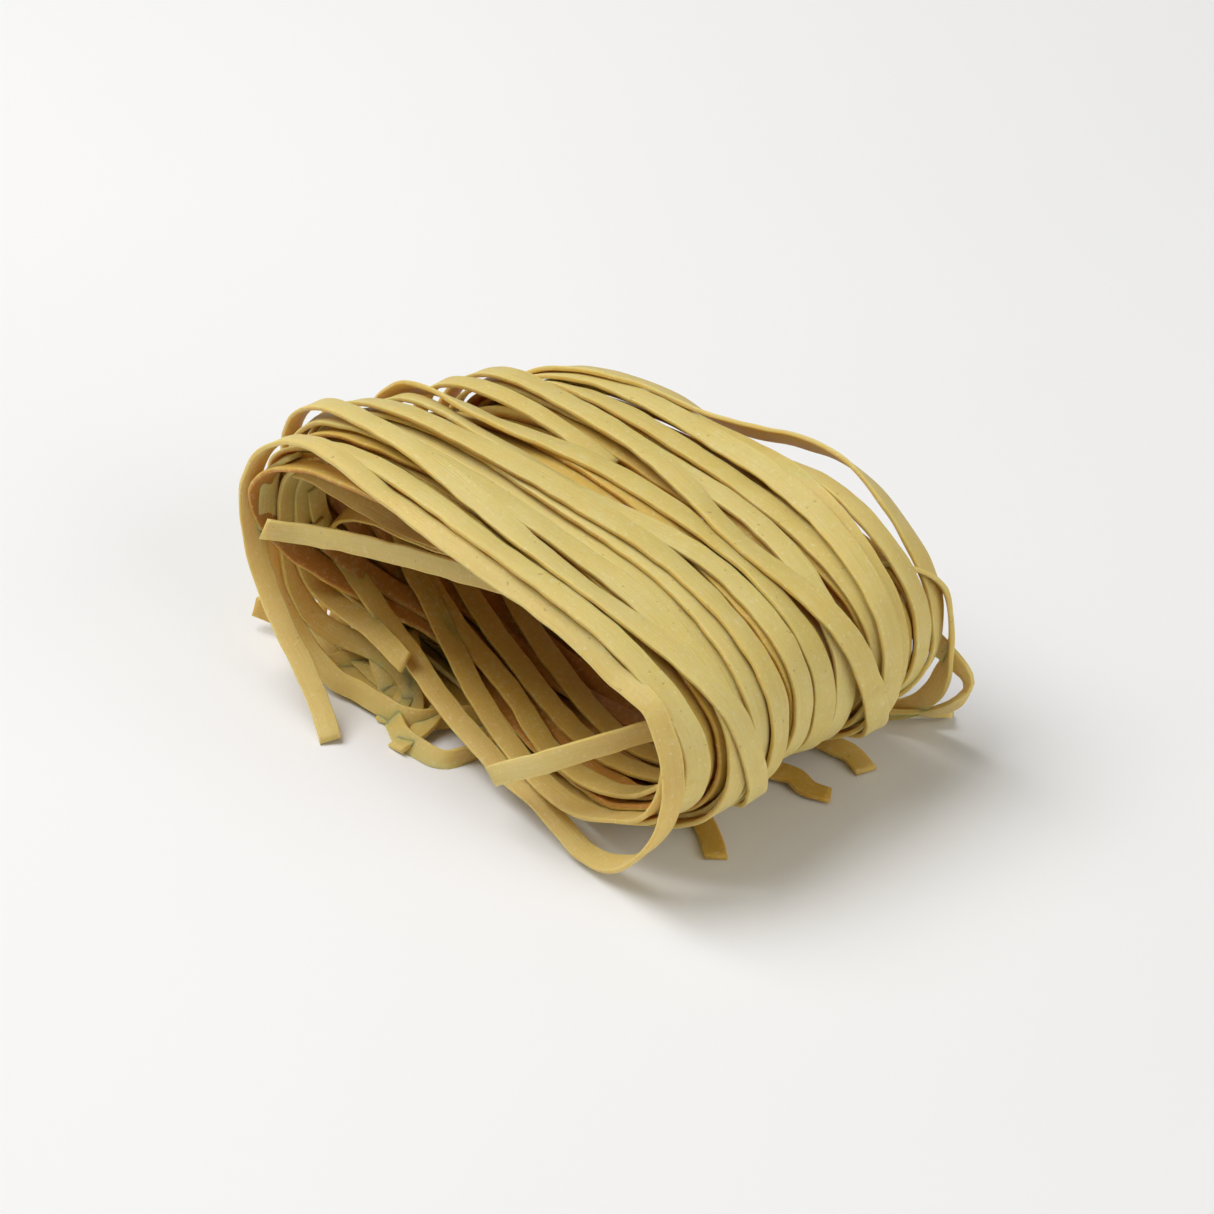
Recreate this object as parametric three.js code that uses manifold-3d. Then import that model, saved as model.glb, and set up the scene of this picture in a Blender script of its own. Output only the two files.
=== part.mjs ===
// A dry pasta nest: flat ribbons wound into a loose, flattened sleeve that lies on its side.
// Millimetres, +Z up. The floor is z = 0, X runs along the nest, and the open tunnel runs along Y.
import * as THREE from "three";
import { mergeVertices } from "three/addons/utils/BufferGeometryUtils.js";
import Module from "manifold-3d";

// ------------------------------------------------------------------ driving dimensions
const RIBBON_WIDTH = 3.1;
const LOOSE_WIDTH = 2.8;
const RIBBON_THICKNESS = 0.85;
// A ribbon reaches this far into what it lies on, because the strands have dried together.
const FUSED_DEPTH = 0.3;
const NEST_DEPTH = 43;

// The tunnel's section at the front and at the back. The front's top is tilted, with its left end up. The
// shoulders are the roundness of the two upper quarters: 2 is an ellipse, more is nearer a box.
const FRONT = {
  halfLength: 35.8,
  rise: 12,
  drop: 16.5,
  tilt: 10.5,
  x: -2.2,
  z: 21.5,
  leftShoulder: 1.9,
  rightShoulder: 2.35,
};
const BACK = {
  halfLength: 32.5,
  rise: 10.6,
  drop: 13.6,
  tilt: 1.6,
  x: 1.3,
  z: 18.5,
  leftShoulder: 2.3,
  rightShoulder: 2.9,
};
// The same for the two lower quarters.
const BOTTOM_LEFT = 2.2;
const BOTTOM_RIGHT = 2.2;

// The height map of the laid strands: columns round the loop, rows across the nest.
const COLUMNS = 420;
const ROW_SIZE = 0.4;
const ROW_REACH = 34;
const ROWS = Math.round(2 * ROW_REACH / ROW_SIZE);

// The inner turns, laid by rule.
const INNER_TURNS = 26;
const INNER_FIRST = -20.5;
const INNER_SPREAD = 42.5;
const INNER_WAVES = [1.9, 1.3, 0.8];
const FRONT_EDGE = -22;
const BACK_EDGE = 23;

// How far the turns at the front run back into the nest at the bottom left, and where, in mm of loop
// past the crest over the left end.
const PULL = { most: 12.5, from: 36, full: 62, to: 104, nearY: 3, spanY: 23.5 };
// How far the inner turns near the back rim run forward at the top right.
const DRAWN_IN = { most: 1.2, at: 12, reach: 20, nearY: 8, spanY: 10 };

// The outer turns in the order in which they lie over each other: their y at these distances past the
// crest, counted toward the right end. A raised turn stands off the rest for a stretch, by so much at its
// front and at its back edge, and a covered one hardly shows.
const STATIONS = [-20, 0, 20, 40, 52];
const NOT_RAISED = { at: 0, reach: 1, front: 0, back: 0 };
const OUTER_TURNS = [
  { ys: [-10, -8.5, -9.3, -12, -12], covered: true },
  { ys: [-8, -7.5, -6.7, -9.3, -9.5], covered: true },
  { ys: [-14.5, -13.6, -12.3, -13.5, -13.5] },
  { ys: [9.5, 9.5, 9.5, 6.2, 6.6], raised: { at: -27, reach: 14, front: 0.9, back: 0.9 } },
  { ys: [21.5, 20.6, 20.5, 20.2, 18], raised: { at: 18, reach: 20, front: 3.4, back: 3.4 } },
  { ys: [20.5, 20, 17.6, 15.1, 15] },
  { ys: [-4.5, -4.3, -0.7, -1.5, -2], raised: { at: -29, reach: 14, front: 2.4, back: 2.4 } },
  { ys: [15.5, 14.5, 13.3, 12, 12] },
  { ys: [19, 17.8, 15.8, 12.5, 12.5] },
  { ys: [-2, 1.7, 2.5, 2.5, 3], raised: { at: -31, reach: 16, front: 1.5, back: 1.5 } },
  { ys: [-9, -6.8, -4.6, -6.5, -8], raised: { at: -27, reach: 14, front: 0.3, back: 0.3 } },
  { ys: [21, 23.4, 24.8, 23.8, 19.5], raised: { at: 16, reach: 22, front: 7.8, back: 5.4 } },
  { ys: [-19.3, -20.6, -19.4, -18.8, -19.2] },
  { ys: [9, 8.2, 4.9, 9.3, 16], raised: { at: -27, reach: 14, front: 0.5, back: 0.5 } },
  { ys: [-15.5, -16.9, -16.2, -11.4, -5], raised: { at: -33, reach: 9, front: 0.6, back: 0.6 } },
];
// The rim strand is laid after this many of them.
const TURNS_UNDER_THE_RIM = 12;
const HIDDEN_STATIONS = 4;
const HIDDEN_WANDER = 3;

// The front rim: one long strand from a hanging end at the left, over the top and round the right end,
// down in a slack loop, and back into the nest along its bottom.
const RIM_COURSE = [[-32, -22], [-20, -22.4], [0, -23], [20, -21.4], [40, -22], [60, -23], [110, -23]];
const RIM_LAID = { from: -14, to: 26 };
const RIM_HANGING_END = [
  [-18.2, -28.8, 0.45], [-21.5, -27.2, 2.7], [-25.5, -26, 5.6], [-31, -24.8, 9.4], [-36, -23.6, 13.9],
  [-38.9, -22.8, 19], [-39.9, -22.3, 24.6], [-38.6, -22.1, 29.4], [-36.4, -22, 32.6],
  [-33.2, -22, 35.1], [-29.3, -22.2, 36.9], [-25, -22.4, 37.8],
];
const RIM_SLACK_LOOP = [
  [32, -21.6, 26.6], [35, -22, 22.8], [36.6, -22.6, 19.4], [36.9, -23.1, 16], [35.9, -23.6, 11.7],
  [33.2, -24, 7.3], [28.8, -23.9, 3.3], [22.4, -23.5, 1.7], [12.9, -22, 3.8], [6.2, -21.4, 4.2],
  [0.2, -20.4, 5.2], [-9.5, -18, 6.3], [-16.3, -16, 7.7], [-24, -14, 9.4], [-31.5, -12.4, 11.8],
  [-34.4, -13, 14.8], [-35.9, -14, 19], [-36.3, -14.6, 24],
];

// The loose strands: the points that each runs through, and the way its width points at its ends.
const UP = [0, 0.1, 1];
const ALONG_Y = [0, 1, 0];
const SLANTED = [0.2, 0.6, 0.6];
const SLANTED_BACK = [0.2, 0.6, -0.6];
const LOOSE_STRANDS = [
  // across the opening, on edge, under the top rim
  {
    through: [
      [-34.2, -25, 23], [-30.7, -22.5, 22.8], [-22.3, -21, 24.6], [-5.3, -17.5, 26.5], [4, -15, 27],
      [16, -10, 28.5],
    ],
    width: [UP, UP],
  },
  // sagging under the top at the left
  {
    through: [
      [-37.5, -17.5, 27.5], [-33.5, -18, 29], [-25.5, -17.5, 28.5], [-20, -16.5, 27.5],
      [-14.8, -15, 26.8], [-8, -12.5, 26.5], [2, -8, 28.5],
    ],
    width: [SLANTED, SLANTED],
  },
  // a second one behind it
  {
    through: [
      [-36, -12, 17], [-33, -12, 20.3], [-27.7, -12, 22.3], [-21.1, -12, 23], [-13.7, -11, 23.6],
      [-2, -6, 26],
    ],
    width: [SLANTED, SLANTED],
  },
  // stub across the opening at the right
  {
    through: [
      [8.7, -26, 7.2], [19.7, -25, 14.9], [29.4, -17, 20.3], [32.8, -13.5, 21.2], [35.4, -10, 21.2],
    ],
    width: [UP, UP],
  },
  // four strands along the bottom of the opening, running back into the nest at the left
  {
    through: [
      [-33.5, -3.5, 17], [-30.5, -4.5, 13.3], [-27.3, -5.9, 11.2], [-23.2, -7, 9.3], [-17.2, -9.2, 7.1],
      [-7.9, -13.5, 6], [0.5, -17, 5.7], [6.5, -19.3, 5.8], [15.9, -21.5, 5.5], [21.2, -21.5, 5.9],
      [26.4, -21.5, 7.9], [30.7, -21, 10.1], [32.9, -20.5, 13.9], [33.6, -19.5, 20],
    ],
    width: [[0.3, 1, 0.2], ALONG_Y],
  },
  {
    through: [
      [-33.5, -2, 17.5], [-30, -3.6, 13], [-26.6, -4.8, 10.7], [-17.7, -7, 7.4], [-13, -8, 6.5],
      [-5.2, -10, 5.8], [7.7, -15.4, 5.6], [15, -17.5, 6.7], [22, -18.5, 8.3], [28, -18.5, 11],
      [32.3, -18, 15.5], [33, -17, 21],
    ],
    width: [[0.3, 1, 0.1], ALONG_Y],
  },
  {
    through: [
      [-31.5, 2.5, 15], [-28, 1, 11.5], [-23.2, -1, 9], [-16.7, -2.8, 6.9], [-8.3, -5.4, 5.9],
      [3, -9.2, 5.6], [10.4, -11.2, 5.9], [18, -13, 7.4], [25, -13.5, 9.4], [30.5, -13.5, 12.7],
      [33.2, -13, 18],
    ],
    width: [[0.3, 1, 0.1], ALONG_Y],
  },
  {
    through: [
      [-31, 9, 15], [-27, 7.5, 11], [-18.3, 3.1, 7.4], [-4.2, -2.3, 5.7], [9.9, -7, 5.8], [18, -9, 7.4],
      [26, -9.5, 9.9], [31, -9.5, 13.5], [33.2, -9.5, 18],
    ],
    width: [[0.3, 1, 0.1], ALONG_Y],
  },
  // three strands down inside the left end: two turn in with an end, the third is slack over the floor
  {
    through: [
      [-15.2, -18.6, 9], [-19.4, -17.4, 9], [-24.4, -16.2, 8.9], [-29.6, -15.9, 9], [-34.6, -16, 10],
      [-36, -16.8, 14], [-36.6, -16.4, 20], [-36, -16.2, 25.6], [-32, -16, 30.5],
    ],
    width: [[0.4, 0.5, 0.7], ALONG_Y, ALONG_Y],
  },
  {
    through: [
      [-14.5, -18.2, 0.9], [-15.5, -17, 1.4], [-18, -15.4, 2.7], [-20.6, -15, 3.9], [-24.3, -15.1, 4.6],
      [-29.4, -16.2, 4.9], [-33.5, -17.4, 6.4], [-36, -18.2, 10], [-37.2, -18.6, 17],
      [-36.2, -18.6, 26.5], [-32.5, -18.5, 31.5],
    ],
    width: [[0.5, 0.65, 0.15], [0.3, 0.7, 0.5], SLANTED, ALONG_Y, ALONG_Y],
  },
  {
    through: [
      [-3, -9, 1.4], [-8.6, -14.2, 2], [-10.8, -16.9, 1.9], [-12.6, -19.2, 1.8], [-16.6, -20.1, 1.8],
      [-22.2, -20.2, 1.9], [-26.5, -20.7, 2.2], [-31.9, -20, 3.6], [-36, -20, 7], [-38.2, -20.6, 13.2],
      [-38.4, -20.8, 20.5], [-37, -20.8, 28.6], [-32, -20.8, 33],
    ],
    width: [[-0.3, 0.5, 0.8], [0.1, 0.45, 0.85], [0, 0.55, 0.75], [0.2, 0.8, 0.3], ALONG_Y],
  },
  // a curl on the floor below them and two ends beside it
  {
    through: [
      [-17, -19.6, 1.2], [-12.5, -22, 1], [-8.7, -22.3, 0.7], [-4.6, -21.6, 0.7], [-3, -18.4, 1.2],
      [-2.6, -13.4, 2],
    ],
    width: [[0.4, 0.5, 0.7], [0.2, 0.8, 0.5]],
  },
  { through: [[-20, -12, 3], [-17.4, -17, 1.6], [-16.4, -21.3, 0.5]], width: [[1, 0.2, 0], [1, 0.2, 0]] },
  {
    through: [[-11.6, -15, 3], [-11.2, -19.6, 1.4], [-11.2, -24.2, 0.5]],
    width: [[1, 0, 0], [1, 0, 0.2]],
  },
  // short curved strands on the floor inside
  {
    through: [[-30.5, -18.4, 1], [-28.2, -16.4, 2.3], [-26, -14, 3.6], [-24, -9, 4]],
    width: [[0.5, -0.1, -0.7], [0.5, -0.1, -0.7]],
  },
  {
    through: [
      [-29.5, -11, 4.6], [-25.6, -14.2, 4.2], [-22.7, -15.8, 3.4], [-20.9, -16.6, 2.4],
      [-19.2, -17.8, 0.9],
    ],
    width: [[0.5, 0.65, 0.15], [0.5, 0.65, 0.15]],
  },
  {
    through: [
      [-25, -9.5, 5], [-21, -12.5, 4.6], [-19, -14, 3.9], [-16.9, -14.7, 2.6], [-14.9, -15.6, 0.9],
    ],
    width: [[0.5, 0.65, 0.15], [0.5, 0.65, 0.15]],
  },
  {
    through: [
      [-38.1, -7.6, 4.8], [-36.8, -10.8, 3.1], [-34.2, -13, 2.8], [-31, -14.6, 2.6],
      [-26.5, -15.6, 2.3], [-20, -16.6, 2],
    ],
    width: [[0.1, 0.7, 0.7], [0.3, 0.8, 0.4], [0.3, 0.8, 0.3]],
  },
  // one down the left wall and one on the floor along it
  {
    through: [
      [-35.5, -15.5, 19], [-36.8, -14.2, 12], [-36.9, -12.6, 8], [-36.3, -10.6, 5.2], [-34, -8.6, 3],
      [-29, -7.6, 1.5], [-24, -7.9, 1], [-18.4, -9.2, 0.9], [-11.5, -11.3, 0.9], [-4, -13.5, 0.9],
    ],
    width: [[0.2, 0.8, 0.5], [0.3, 0.8, 0.4], [0.2, 1, 0], [0.2, 1, 0]],
  },
  {
    through: [[-38.5, -13, 4.5], [-36, -15.6, 2], [-32, -16.8, 1.2], [-26, -17.6, 1.2], [-19, -19, 1]],
    width: [[0.3, 0.8, 0.3], [0.2, 0.9, 0.1]],
  },
  // end behind the left rim
  {
    through: [[-28, -13, 3], [-37, -15.5, 2.6], [-45, -18, 3.2]],
    width: [[0.1, 0.6, 0.8], [0.1, 0.2, 1]],
  },
  // ends on the floor at the right
  { through: [[20, -5, 1.2], [27.4, -7.9, 0.6], [33.2, -11.6, 0.45]], width: [ALONG_Y, ALONG_Y] },
  {
    through: [[19, 4, 1.4], [25, 5.6, 1.3], [28.4, 6.9, 1], [31, 6.5, 0.75], [33.9, 7.6, 0.6]],
    width: [[0, 1, 0.3], [0.2, 1, -0.1]],
  },
  {
    through: [[20, 14.5, 1.4], [26, 14.9, 1.3], [29.7, 15.6, 1], [33.2, 14.8, 0.5]],
    width: [[0, 1, 0.2], [0.4, 1, 0]],
  },
  // over the left shoulder, under the raised turn there
  {
    through: [
      [-36.5, 4.2, 19], [-37.4, 4.2, 25], [-35.8, 4.3, 29.8], [-32.4, 4.4, 33], [-28, 4.5, 34.7],
      [-23, 4.7, 35.4], [-17, 5, 35.4], [-10, 5.2, 34.6], [-3, 5.4, 33.2],
    ],
    width: [ALONG_Y, ALONG_Y],
  },
  // two loops and an end at the far right
  {
    through: [
      [29, 20, 27], [32, 22.5, 26.6], [34.2, 25, 24.8], [35.2, 26, 22.8], [35.9, 26, 20.7],
      [36.4, 26, 16.8], [36.1, 26, 13.8], [35.5, 26, 11.6], [34, 26, 8], [31.2, 26, 4.4],
      [27.6, 25.5, 1.9], [23, 24, 1.2],
    ],
    width: [[0.6, -0.6, 0.5], [0.6, -0.6, 0.5], [0.7, -0.6, 0.2], [0.7, 0.1, -0.7], [0.7, 0.2, -0.7]],
  },
  {
    through: [
      [33.8, 22, 19], [34.7, 26, 14.4], [38.3, 27, 11.3], [37, 27.2, 7.4], [32.8, 27, 3.4],
      [26, 24, 1.6],
    ],
    width: [[0.2, 0.2, 1], [0.6, -0.6, 0.6]],
  },
  {
    through: [[24, 22, 1.8], [29, 27, 1.3], [32.7, 31, 1.1]],
    width: [[0.6, -0.6, 0.5], [0.6, -0.6, 0.5]],
  },
  // the back opening: a sagging strand, a stub and a slack loop
  {
    through: [[32, 15, 28], [22, 19, 29.5], [8, 21, 28], [-8, 20.5, 29.5], [-18, 17, 30.5]],
    width: [SLANTED_BACK, SLANTED_BACK],
  },
  { through: [[-14, 27, 4.5], [-21, 24.5, 9.5], [-28.5, 19, 15], [-31.5, 13, 16.5]], width: [UP, UP] },
  {
    through: [[-31.5, 20, 22], [-32.5, 24, 14], [-26, 26.5, 4], [-14, 26, 1.2], [0, 22, 1.4], [8, 17, 2]],
    width: [ALONG_Y, ALONG_Y],
  },
];

// The core under the shown strands.
const CORE_COLUMNS = 36;
const CORE_ROWS = 7;
const CORE_INSIDE = 0.1;
const CORE_THINNEST = 1.0;
const CORE_THICKEST = 2.4;

// Facets: a strand's points are kept where leaving them out would move it by more than this.
const STRAND_TOLERANCE = 0.47;
const STRAND_LONGEST_STEP = 18;

// The block that cuts the underside flat is a cube of this size.
const UNDER_FLOOR_SIZE = 200;

const RANDOM_SEED = 20611;

// ------------------------------------------------------------------ small helpers
function lerp(a, b, t) {
  return a + (b - a) * t;
}

function clamp(value, low, high) {
  return Math.min(high, Math.max(low, value));
}

function smoothStep(t) {
  const u = clamp(t, 0, 1);
  return u * u * (3 - 2 * u);
}

function signedPower(value, exponent) {
  return Math.sign(value) * Math.abs(value) ** exponent;
}

function wrap(value, period) {
  return ((value % period) + period) % period;
}

function vector(numbers) {
  return new THREE.Vector3(...numbers);
}

// Seeded draws between 0 and 1.
function* randomDraws(seed) {
  let state = seed;
  while (true) {
    state = (state * 16807) % 2147483647;
    yield state / 2147483647;
  }
}

const draws = randomDraws(RANDOM_SEED);
const draw = () => draws.next().value;

// ------------------------------------------------------------------ the tunnel's section
function sectionAt(y) {
  const v = clamp(y / NEST_DEPTH + 0.5, -0.15, 1.15);
  const section = {};
  for (const key of Object.keys(FRONT)) {
    section[key] = lerp(FRONT[key], BACK[key], key === "tilt" ? smoothStep(v) : v);
  }
  return section;
}

function roundness(section, cosine, sine) {
  if (sine >= 0) {
    return cosine >= 0 ? section.rightShoulder : section.leftShoulder;
  }
  return cosine >= 0 ? BOTTOM_RIGHT : BOTTOM_LEFT;
}

// A point of the section and the outward normal there, before the tilt.
function sectionPoint(section, angle) {
  const cosine = Math.cos(angle);
  const sine = Math.sin(angle);
  const power = roundness(section, cosine, sine);
  const halfHeight = sine >= 0 ? section.rise : section.drop;
  const x = section.halfLength * signedPower(cosine, 2 / power);
  const z = halfHeight * signedPower(sine, 2 / power);
  const nx = signedPower(x / section.halfLength, power - 1) / section.halfLength;
  const nz = signedPower(z / halfHeight, power - 1) / halfHeight;
  const length = Math.hypot(nx, nz);
  return { x, z, nx: nx / length, nz: nz / length };
}

// Angles of the columns, evenly spaced along the middle section, and the length of that loop.
function spaceColumns() {
  const samples = 2880;
  const section = sectionAt(0);
  const run = [0];
  let previous = sectionPoint(section, 0);
  for (let i = 1; i <= samples; i += 1) {
    const point = sectionPoint(section, 2 * Math.PI * i / samples);
    run.push(run[i - 1] + Math.hypot(point.x - previous.x, point.z - previous.z));
    previous = point;
  }
  const angles = [];
  let j = 0;
  for (let k = 0; k < COLUMNS; k += 1) {
    const wanted = run[samples] * k / COLUMNS;
    while (run[j + 1] < wanted) {
      j += 1;
    }
    angles.push(2 * Math.PI * (j + (wanted - run[j]) / (run[j + 1] - run[j])) / samples);
  }
  return { angles, loopLength: run[samples] };
}

const { angles: COLUMN_ANGLES, loopLength: LOOP_LENGTH } = spaceColumns();
const COLUMN_STEP = LOOP_LENGTH / COLUMNS;
const CREST_COLUMN = COLUMN_ANGLES.findIndex((angle) => angle >= Math.PI / 2);

// The point at a height over the tunnel's surface. The tilt eases off toward the bottom.
function pointOver(column, y, height) {
  const section = sectionAt(y);
  const angle = COLUMN_ANGLES[wrap(column, COLUMNS)];
  const tilt = THREE.MathUtils.degToRad(section.tilt) * (1 + Math.sin(angle)) / 2;
  const p = sectionPoint(section, angle);
  const x = p.x + p.nx * height;
  const z = p.z + p.nz * height;
  return new THREE.Vector3(
    section.x + x * Math.cos(tilt) + z * Math.sin(tilt),
    y,
    section.z - x * Math.sin(tilt) + z * Math.cos(tilt),
  );
}

// How far a turn at y is set back at a distance past the crest (counted toward the right end).
function pullBack(distance, y) {
  const overLeft = LOOP_LENGTH - wrap(distance, LOOP_LENGTH);
  let share = 0;
  if (overLeft > PULL.from && overLeft < PULL.full) {
    share = smoothStep((overLeft - PULL.from) / (PULL.full - PULL.from));
  } else if (overLeft >= PULL.full && overLeft < PULL.to) {
    share = (PULL.to - overLeft) / (PULL.to - PULL.full);
  }
  return PULL.most * share * clamp((PULL.nearY - y) / PULL.spanY, 0, 1);
}

// How far an inner turn near the back rim is set forward at a distance past the crest.
function drawIn(distance, y) {
  const share = smoothStep(1 - Math.abs(distance - DRAWN_IN.at) / DRAWN_IN.reach);
  return DRAWN_IN.most * share * clamp((y - DRAWN_IN.nearY) / DRAWN_IN.spanY, 0, 1);
}

// ------------------------------------------------------------------ laying strands
const heights = Array.from({ length: COLUMNS }, () => new Float64Array(ROWS));

// Gaussian smoothing of a list, closed round or held at its ends.
function smoothList(values, sigma, closed) {
  const reach = Math.floor(3 * sigma + 1);
  const weights = [];
  for (let k = -reach; k <= reach; k += 1) {
    weights.push(Math.exp(-0.5 * (k / sigma) ** 2));
  }
  const total = weights.reduce((sum, w) => sum + w, 0);
  const count = values.length;
  return values.map((_, i) => {
    let sum = 0;
    for (let k = -reach; k <= reach; k += 1) {
      const at = closed ? wrap(i + k, count) : clamp(i + k, 0, count - 1);
      sum += values[at] * weights[k + reach];
    }
    return sum / total;
  });
}

// A ribbon bridges hollows and bends smoothly over what is under it.
function stiffOver(support, closed) {
  let height = smoothList(support, 5, closed);
  for (let pass = 0; pass < 5; pass += 1) {
    height = smoothList(height, 9, closed).map((h, i) => Math.max(h, support[i]));
  }
  return smoothList(height, 7, closed);
}

// How far a raised stretch stands off at a column, at its front and at its back edge.
function liftAt(column, { at, reach, front, back }) {
  const half = LOOP_LENGTH / 2;
  const distance = wrap((CREST_COLUMN - column) * COLUMN_STEP - at + half, LOOP_LENGTH) - half;
  const share = smoothStep(1 - Math.abs(distance) / reach);
  return { front: front * share, back: back * share };
}

function rowOf(y) {
  return Math.trunc((y + ROW_REACH) / ROW_SIZE);
}

// Lays a ribbon over what is already there. course[i] is its y at column first + i.
function layStrand(first, course, closed, width, raised = NOT_RAISED) {
  const count = course.length;
  const left = [];
  const right = [];
  const reaches = [];
  for (let i = 0; i < count; i += 1) {
    const before = closed ? wrap(i - 1, count) : Math.max(i - 1, 0);
    const after = closed ? wrap(i + 1, count) : Math.min(i + 1, count - 1);
    const apart = closed ? 2 : after - before;
    const slope = (course[after] - course[before]) / (apart * COLUMN_STEP);
    const reach = 0.5 * width * Math.sqrt(1 + slope * slope);
    const column = heights[wrap(first + i, COLUMNS)];
    const low = clamp(rowOf(course[i] - reach), 0, ROWS - 2);
    const high = clamp(rowOf(course[i] + reach), 1, ROWS - 1);
    const middle = clamp(rowOf(course[i]), low, high);
    left.push(Math.max(...column.slice(low, middle + 1)));
    right.push(Math.max(...column.slice(middle, high + 1)));
    reaches.push(reach);
  }
  const lifts = course.map((_, i) => liftAt(first + i, raised));
  const leftHeight = stiffOver(left, closed).map((height, i) => height + lifts[i].front);
  const rightHeight = stiffOver(right, closed).map((height, i) => height + lifts[i].back);
  const points = [];
  const across = [];
  for (let i = 0; i < count; i += 1) {
    const reach = reaches[i];
    const column = heights[wrap(first + i, COLUMNS)];
    const low = Math.max(0, rowOf(course[i] - reach));
    const high = Math.min(ROWS - 1, rowOf(course[i] + reach));
    for (let row = low; row <= high; row += 1) {
      const y = (row + 0.5) * ROW_SIZE - ROW_REACH;
      const t = clamp((y - course[i] + reach) / (2 * reach), 0, 1);
      const top = lerp(leftHeight[i], rightHeight[i], t) + RIBBON_THICKNESS;
      column[row] = Math.max(column[row], top);
    }
    const middleHeight = RIBBON_THICKNESS / 2;
    const a = pointOver(first + i, course[i] - reach, leftHeight[i] + middleHeight);
    const b = pointOver(first + i, course[i] + reach, rightHeight[i] + middleHeight);
    points.push(a.clone().add(b).multiplyScalar(0.5));
    across.push(b.sub(a));
  }
  return { points, across: squareUp(points, across, closed), closed, width };
}

function tangentAt(points, i, closed) {
  const count = points.length;
  const before = closed ? wrap(i - 1, count) : Math.max(i - 1, 0);
  const after = closed ? wrap(i + 1, count) : Math.min(i + 1, count - 1);
  return points[after].clone().sub(points[before]).normalize();
}

// Turns each width square to the strand's direction.
function squareUp(points, across, closed) {
  return across.map((width, i) => {
    const tangent = tangentAt(points, i, closed);
    return width.clone().addScaledVector(tangent, -width.dot(tangent)).normalize();
  });
}

// The y of a closed turn at each column, through (distance past the crest, y) stations.
function courseThrough(stations) {
  const sorted = stations.map(([s, y]) => [wrap(s, LOOP_LENGTH), y]).sort((a, b) => a[0] - b[0]);
  const before = sorted.slice(-3).map(([s, y]) => [s - LOOP_LENGTH, y]);
  const after = sorted.slice(0, 3).map(([s, y]) => [s + LOOP_LENGTH, y]);
  const all = [...before, ...sorted, ...after];
  const slopes = all.map((_, i) => {
    if (i === 0 || i === all.length - 1) {
      return 0;
    }
    const gapBefore = all[i][0] - all[i - 1][0];
    const gapAfter = all[i + 1][0] - all[i][0];
    const slopeBefore = (all[i][1] - all[i - 1][1]) / gapBefore;
    const slopeAfter = (all[i + 1][1] - all[i][1]) / gapAfter;
    return (slopeAfter * gapBefore + slopeBefore * gapAfter) / (gapBefore + gapAfter);
  });
  const course = [];
  for (let column = 0; column < COLUMNS; column += 1) {
    const s = wrap((CREST_COLUMN - column) * COLUMN_STEP, LOOP_LENGTH);
    let k = 0;
    while (all[k + 1][0] <= s) {
      k += 1;
    }
    const gap = all[k + 1][0] - all[k][0];
    const t = (s - all[k][0]) / gap;
    course.push(
      (2 * t ** 3 - 3 * t ** 2 + 1) * all[k][1] + (t ** 3 - 2 * t ** 2 + t) * gap * slopes[k]
      + (3 * t ** 2 - 2 * t ** 3) * all[k + 1][1] + (t ** 3 - t ** 2) * gap * slopes[k + 1],
    );
  }
  return course;
}

function layInnerTurns() {
  const order = Array.from({ length: INNER_TURNS }, (_, i) => i);
  for (let i = INNER_TURNS - 1; i > 0; i -= 1) {
    const j = Math.floor(draw() * (i + 1));
    [order[i], order[j]] = [order[j], order[i]];
  }
  for (const place of order) {
    const base = INNER_FIRST + INNER_SPREAD * (place + 0.5) / INNER_TURNS;
    const sizes = INNER_WAVES.map((wave) => wave * (draw() * 2.2 - 1.1));
    const phases = INNER_WAVES.map(() => draw() * 2 * Math.PI);
    const course = [];
    for (let column = 0; column < COLUMNS; column += 1) {
      const turn = column / COLUMNS * 2 * Math.PI;
      let y = base;
      for (let wave = 0; wave < INNER_WAVES.length; wave += 1) {
        y += sizes[wave] * Math.sin((wave + 1) * turn + phases[wave]);
      }
      y = clamp(y, FRONT_EDGE, BACK_EDGE);
      const distance = (CREST_COLUMN - column) * COLUMN_STEP;
      course.push(y + pullBack(distance, y) - drawIn(distance, y));
    }
    layStrand(0, course, true, RIBBON_WIDTH * (0.92 + 0.16 * draw()));
  }
}

function layOuterTurn({ ys, raised, covered }) {
  const stations = ys.map((y, i) => [STATIONS[i], y]);
  const [firstS, firstY] = stations[0];
  const [lastS, lastY] = stations[stations.length - 1];
  const hidden = LOOP_LENGTH - (lastS - firstS);
  for (let j = 1; j <= HIDDEN_STATIONS; j += 1) {
    const t = j / (HIDDEN_STATIONS + 1);
    const s = lastS + hidden * t;
    const y = clamp(lerp(lastY, firstY, t) + (draw() - 0.5) * HIDDEN_WANDER, -21.5, 23);
    stations.push([s, y + pullBack(s, y)]);
  }
  const width = RIBBON_WIDTH * (0.97 + 0.1 * draw());
  return { ...layStrand(0, courseThrough(stations), true, width, raised), covered };
}

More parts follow.
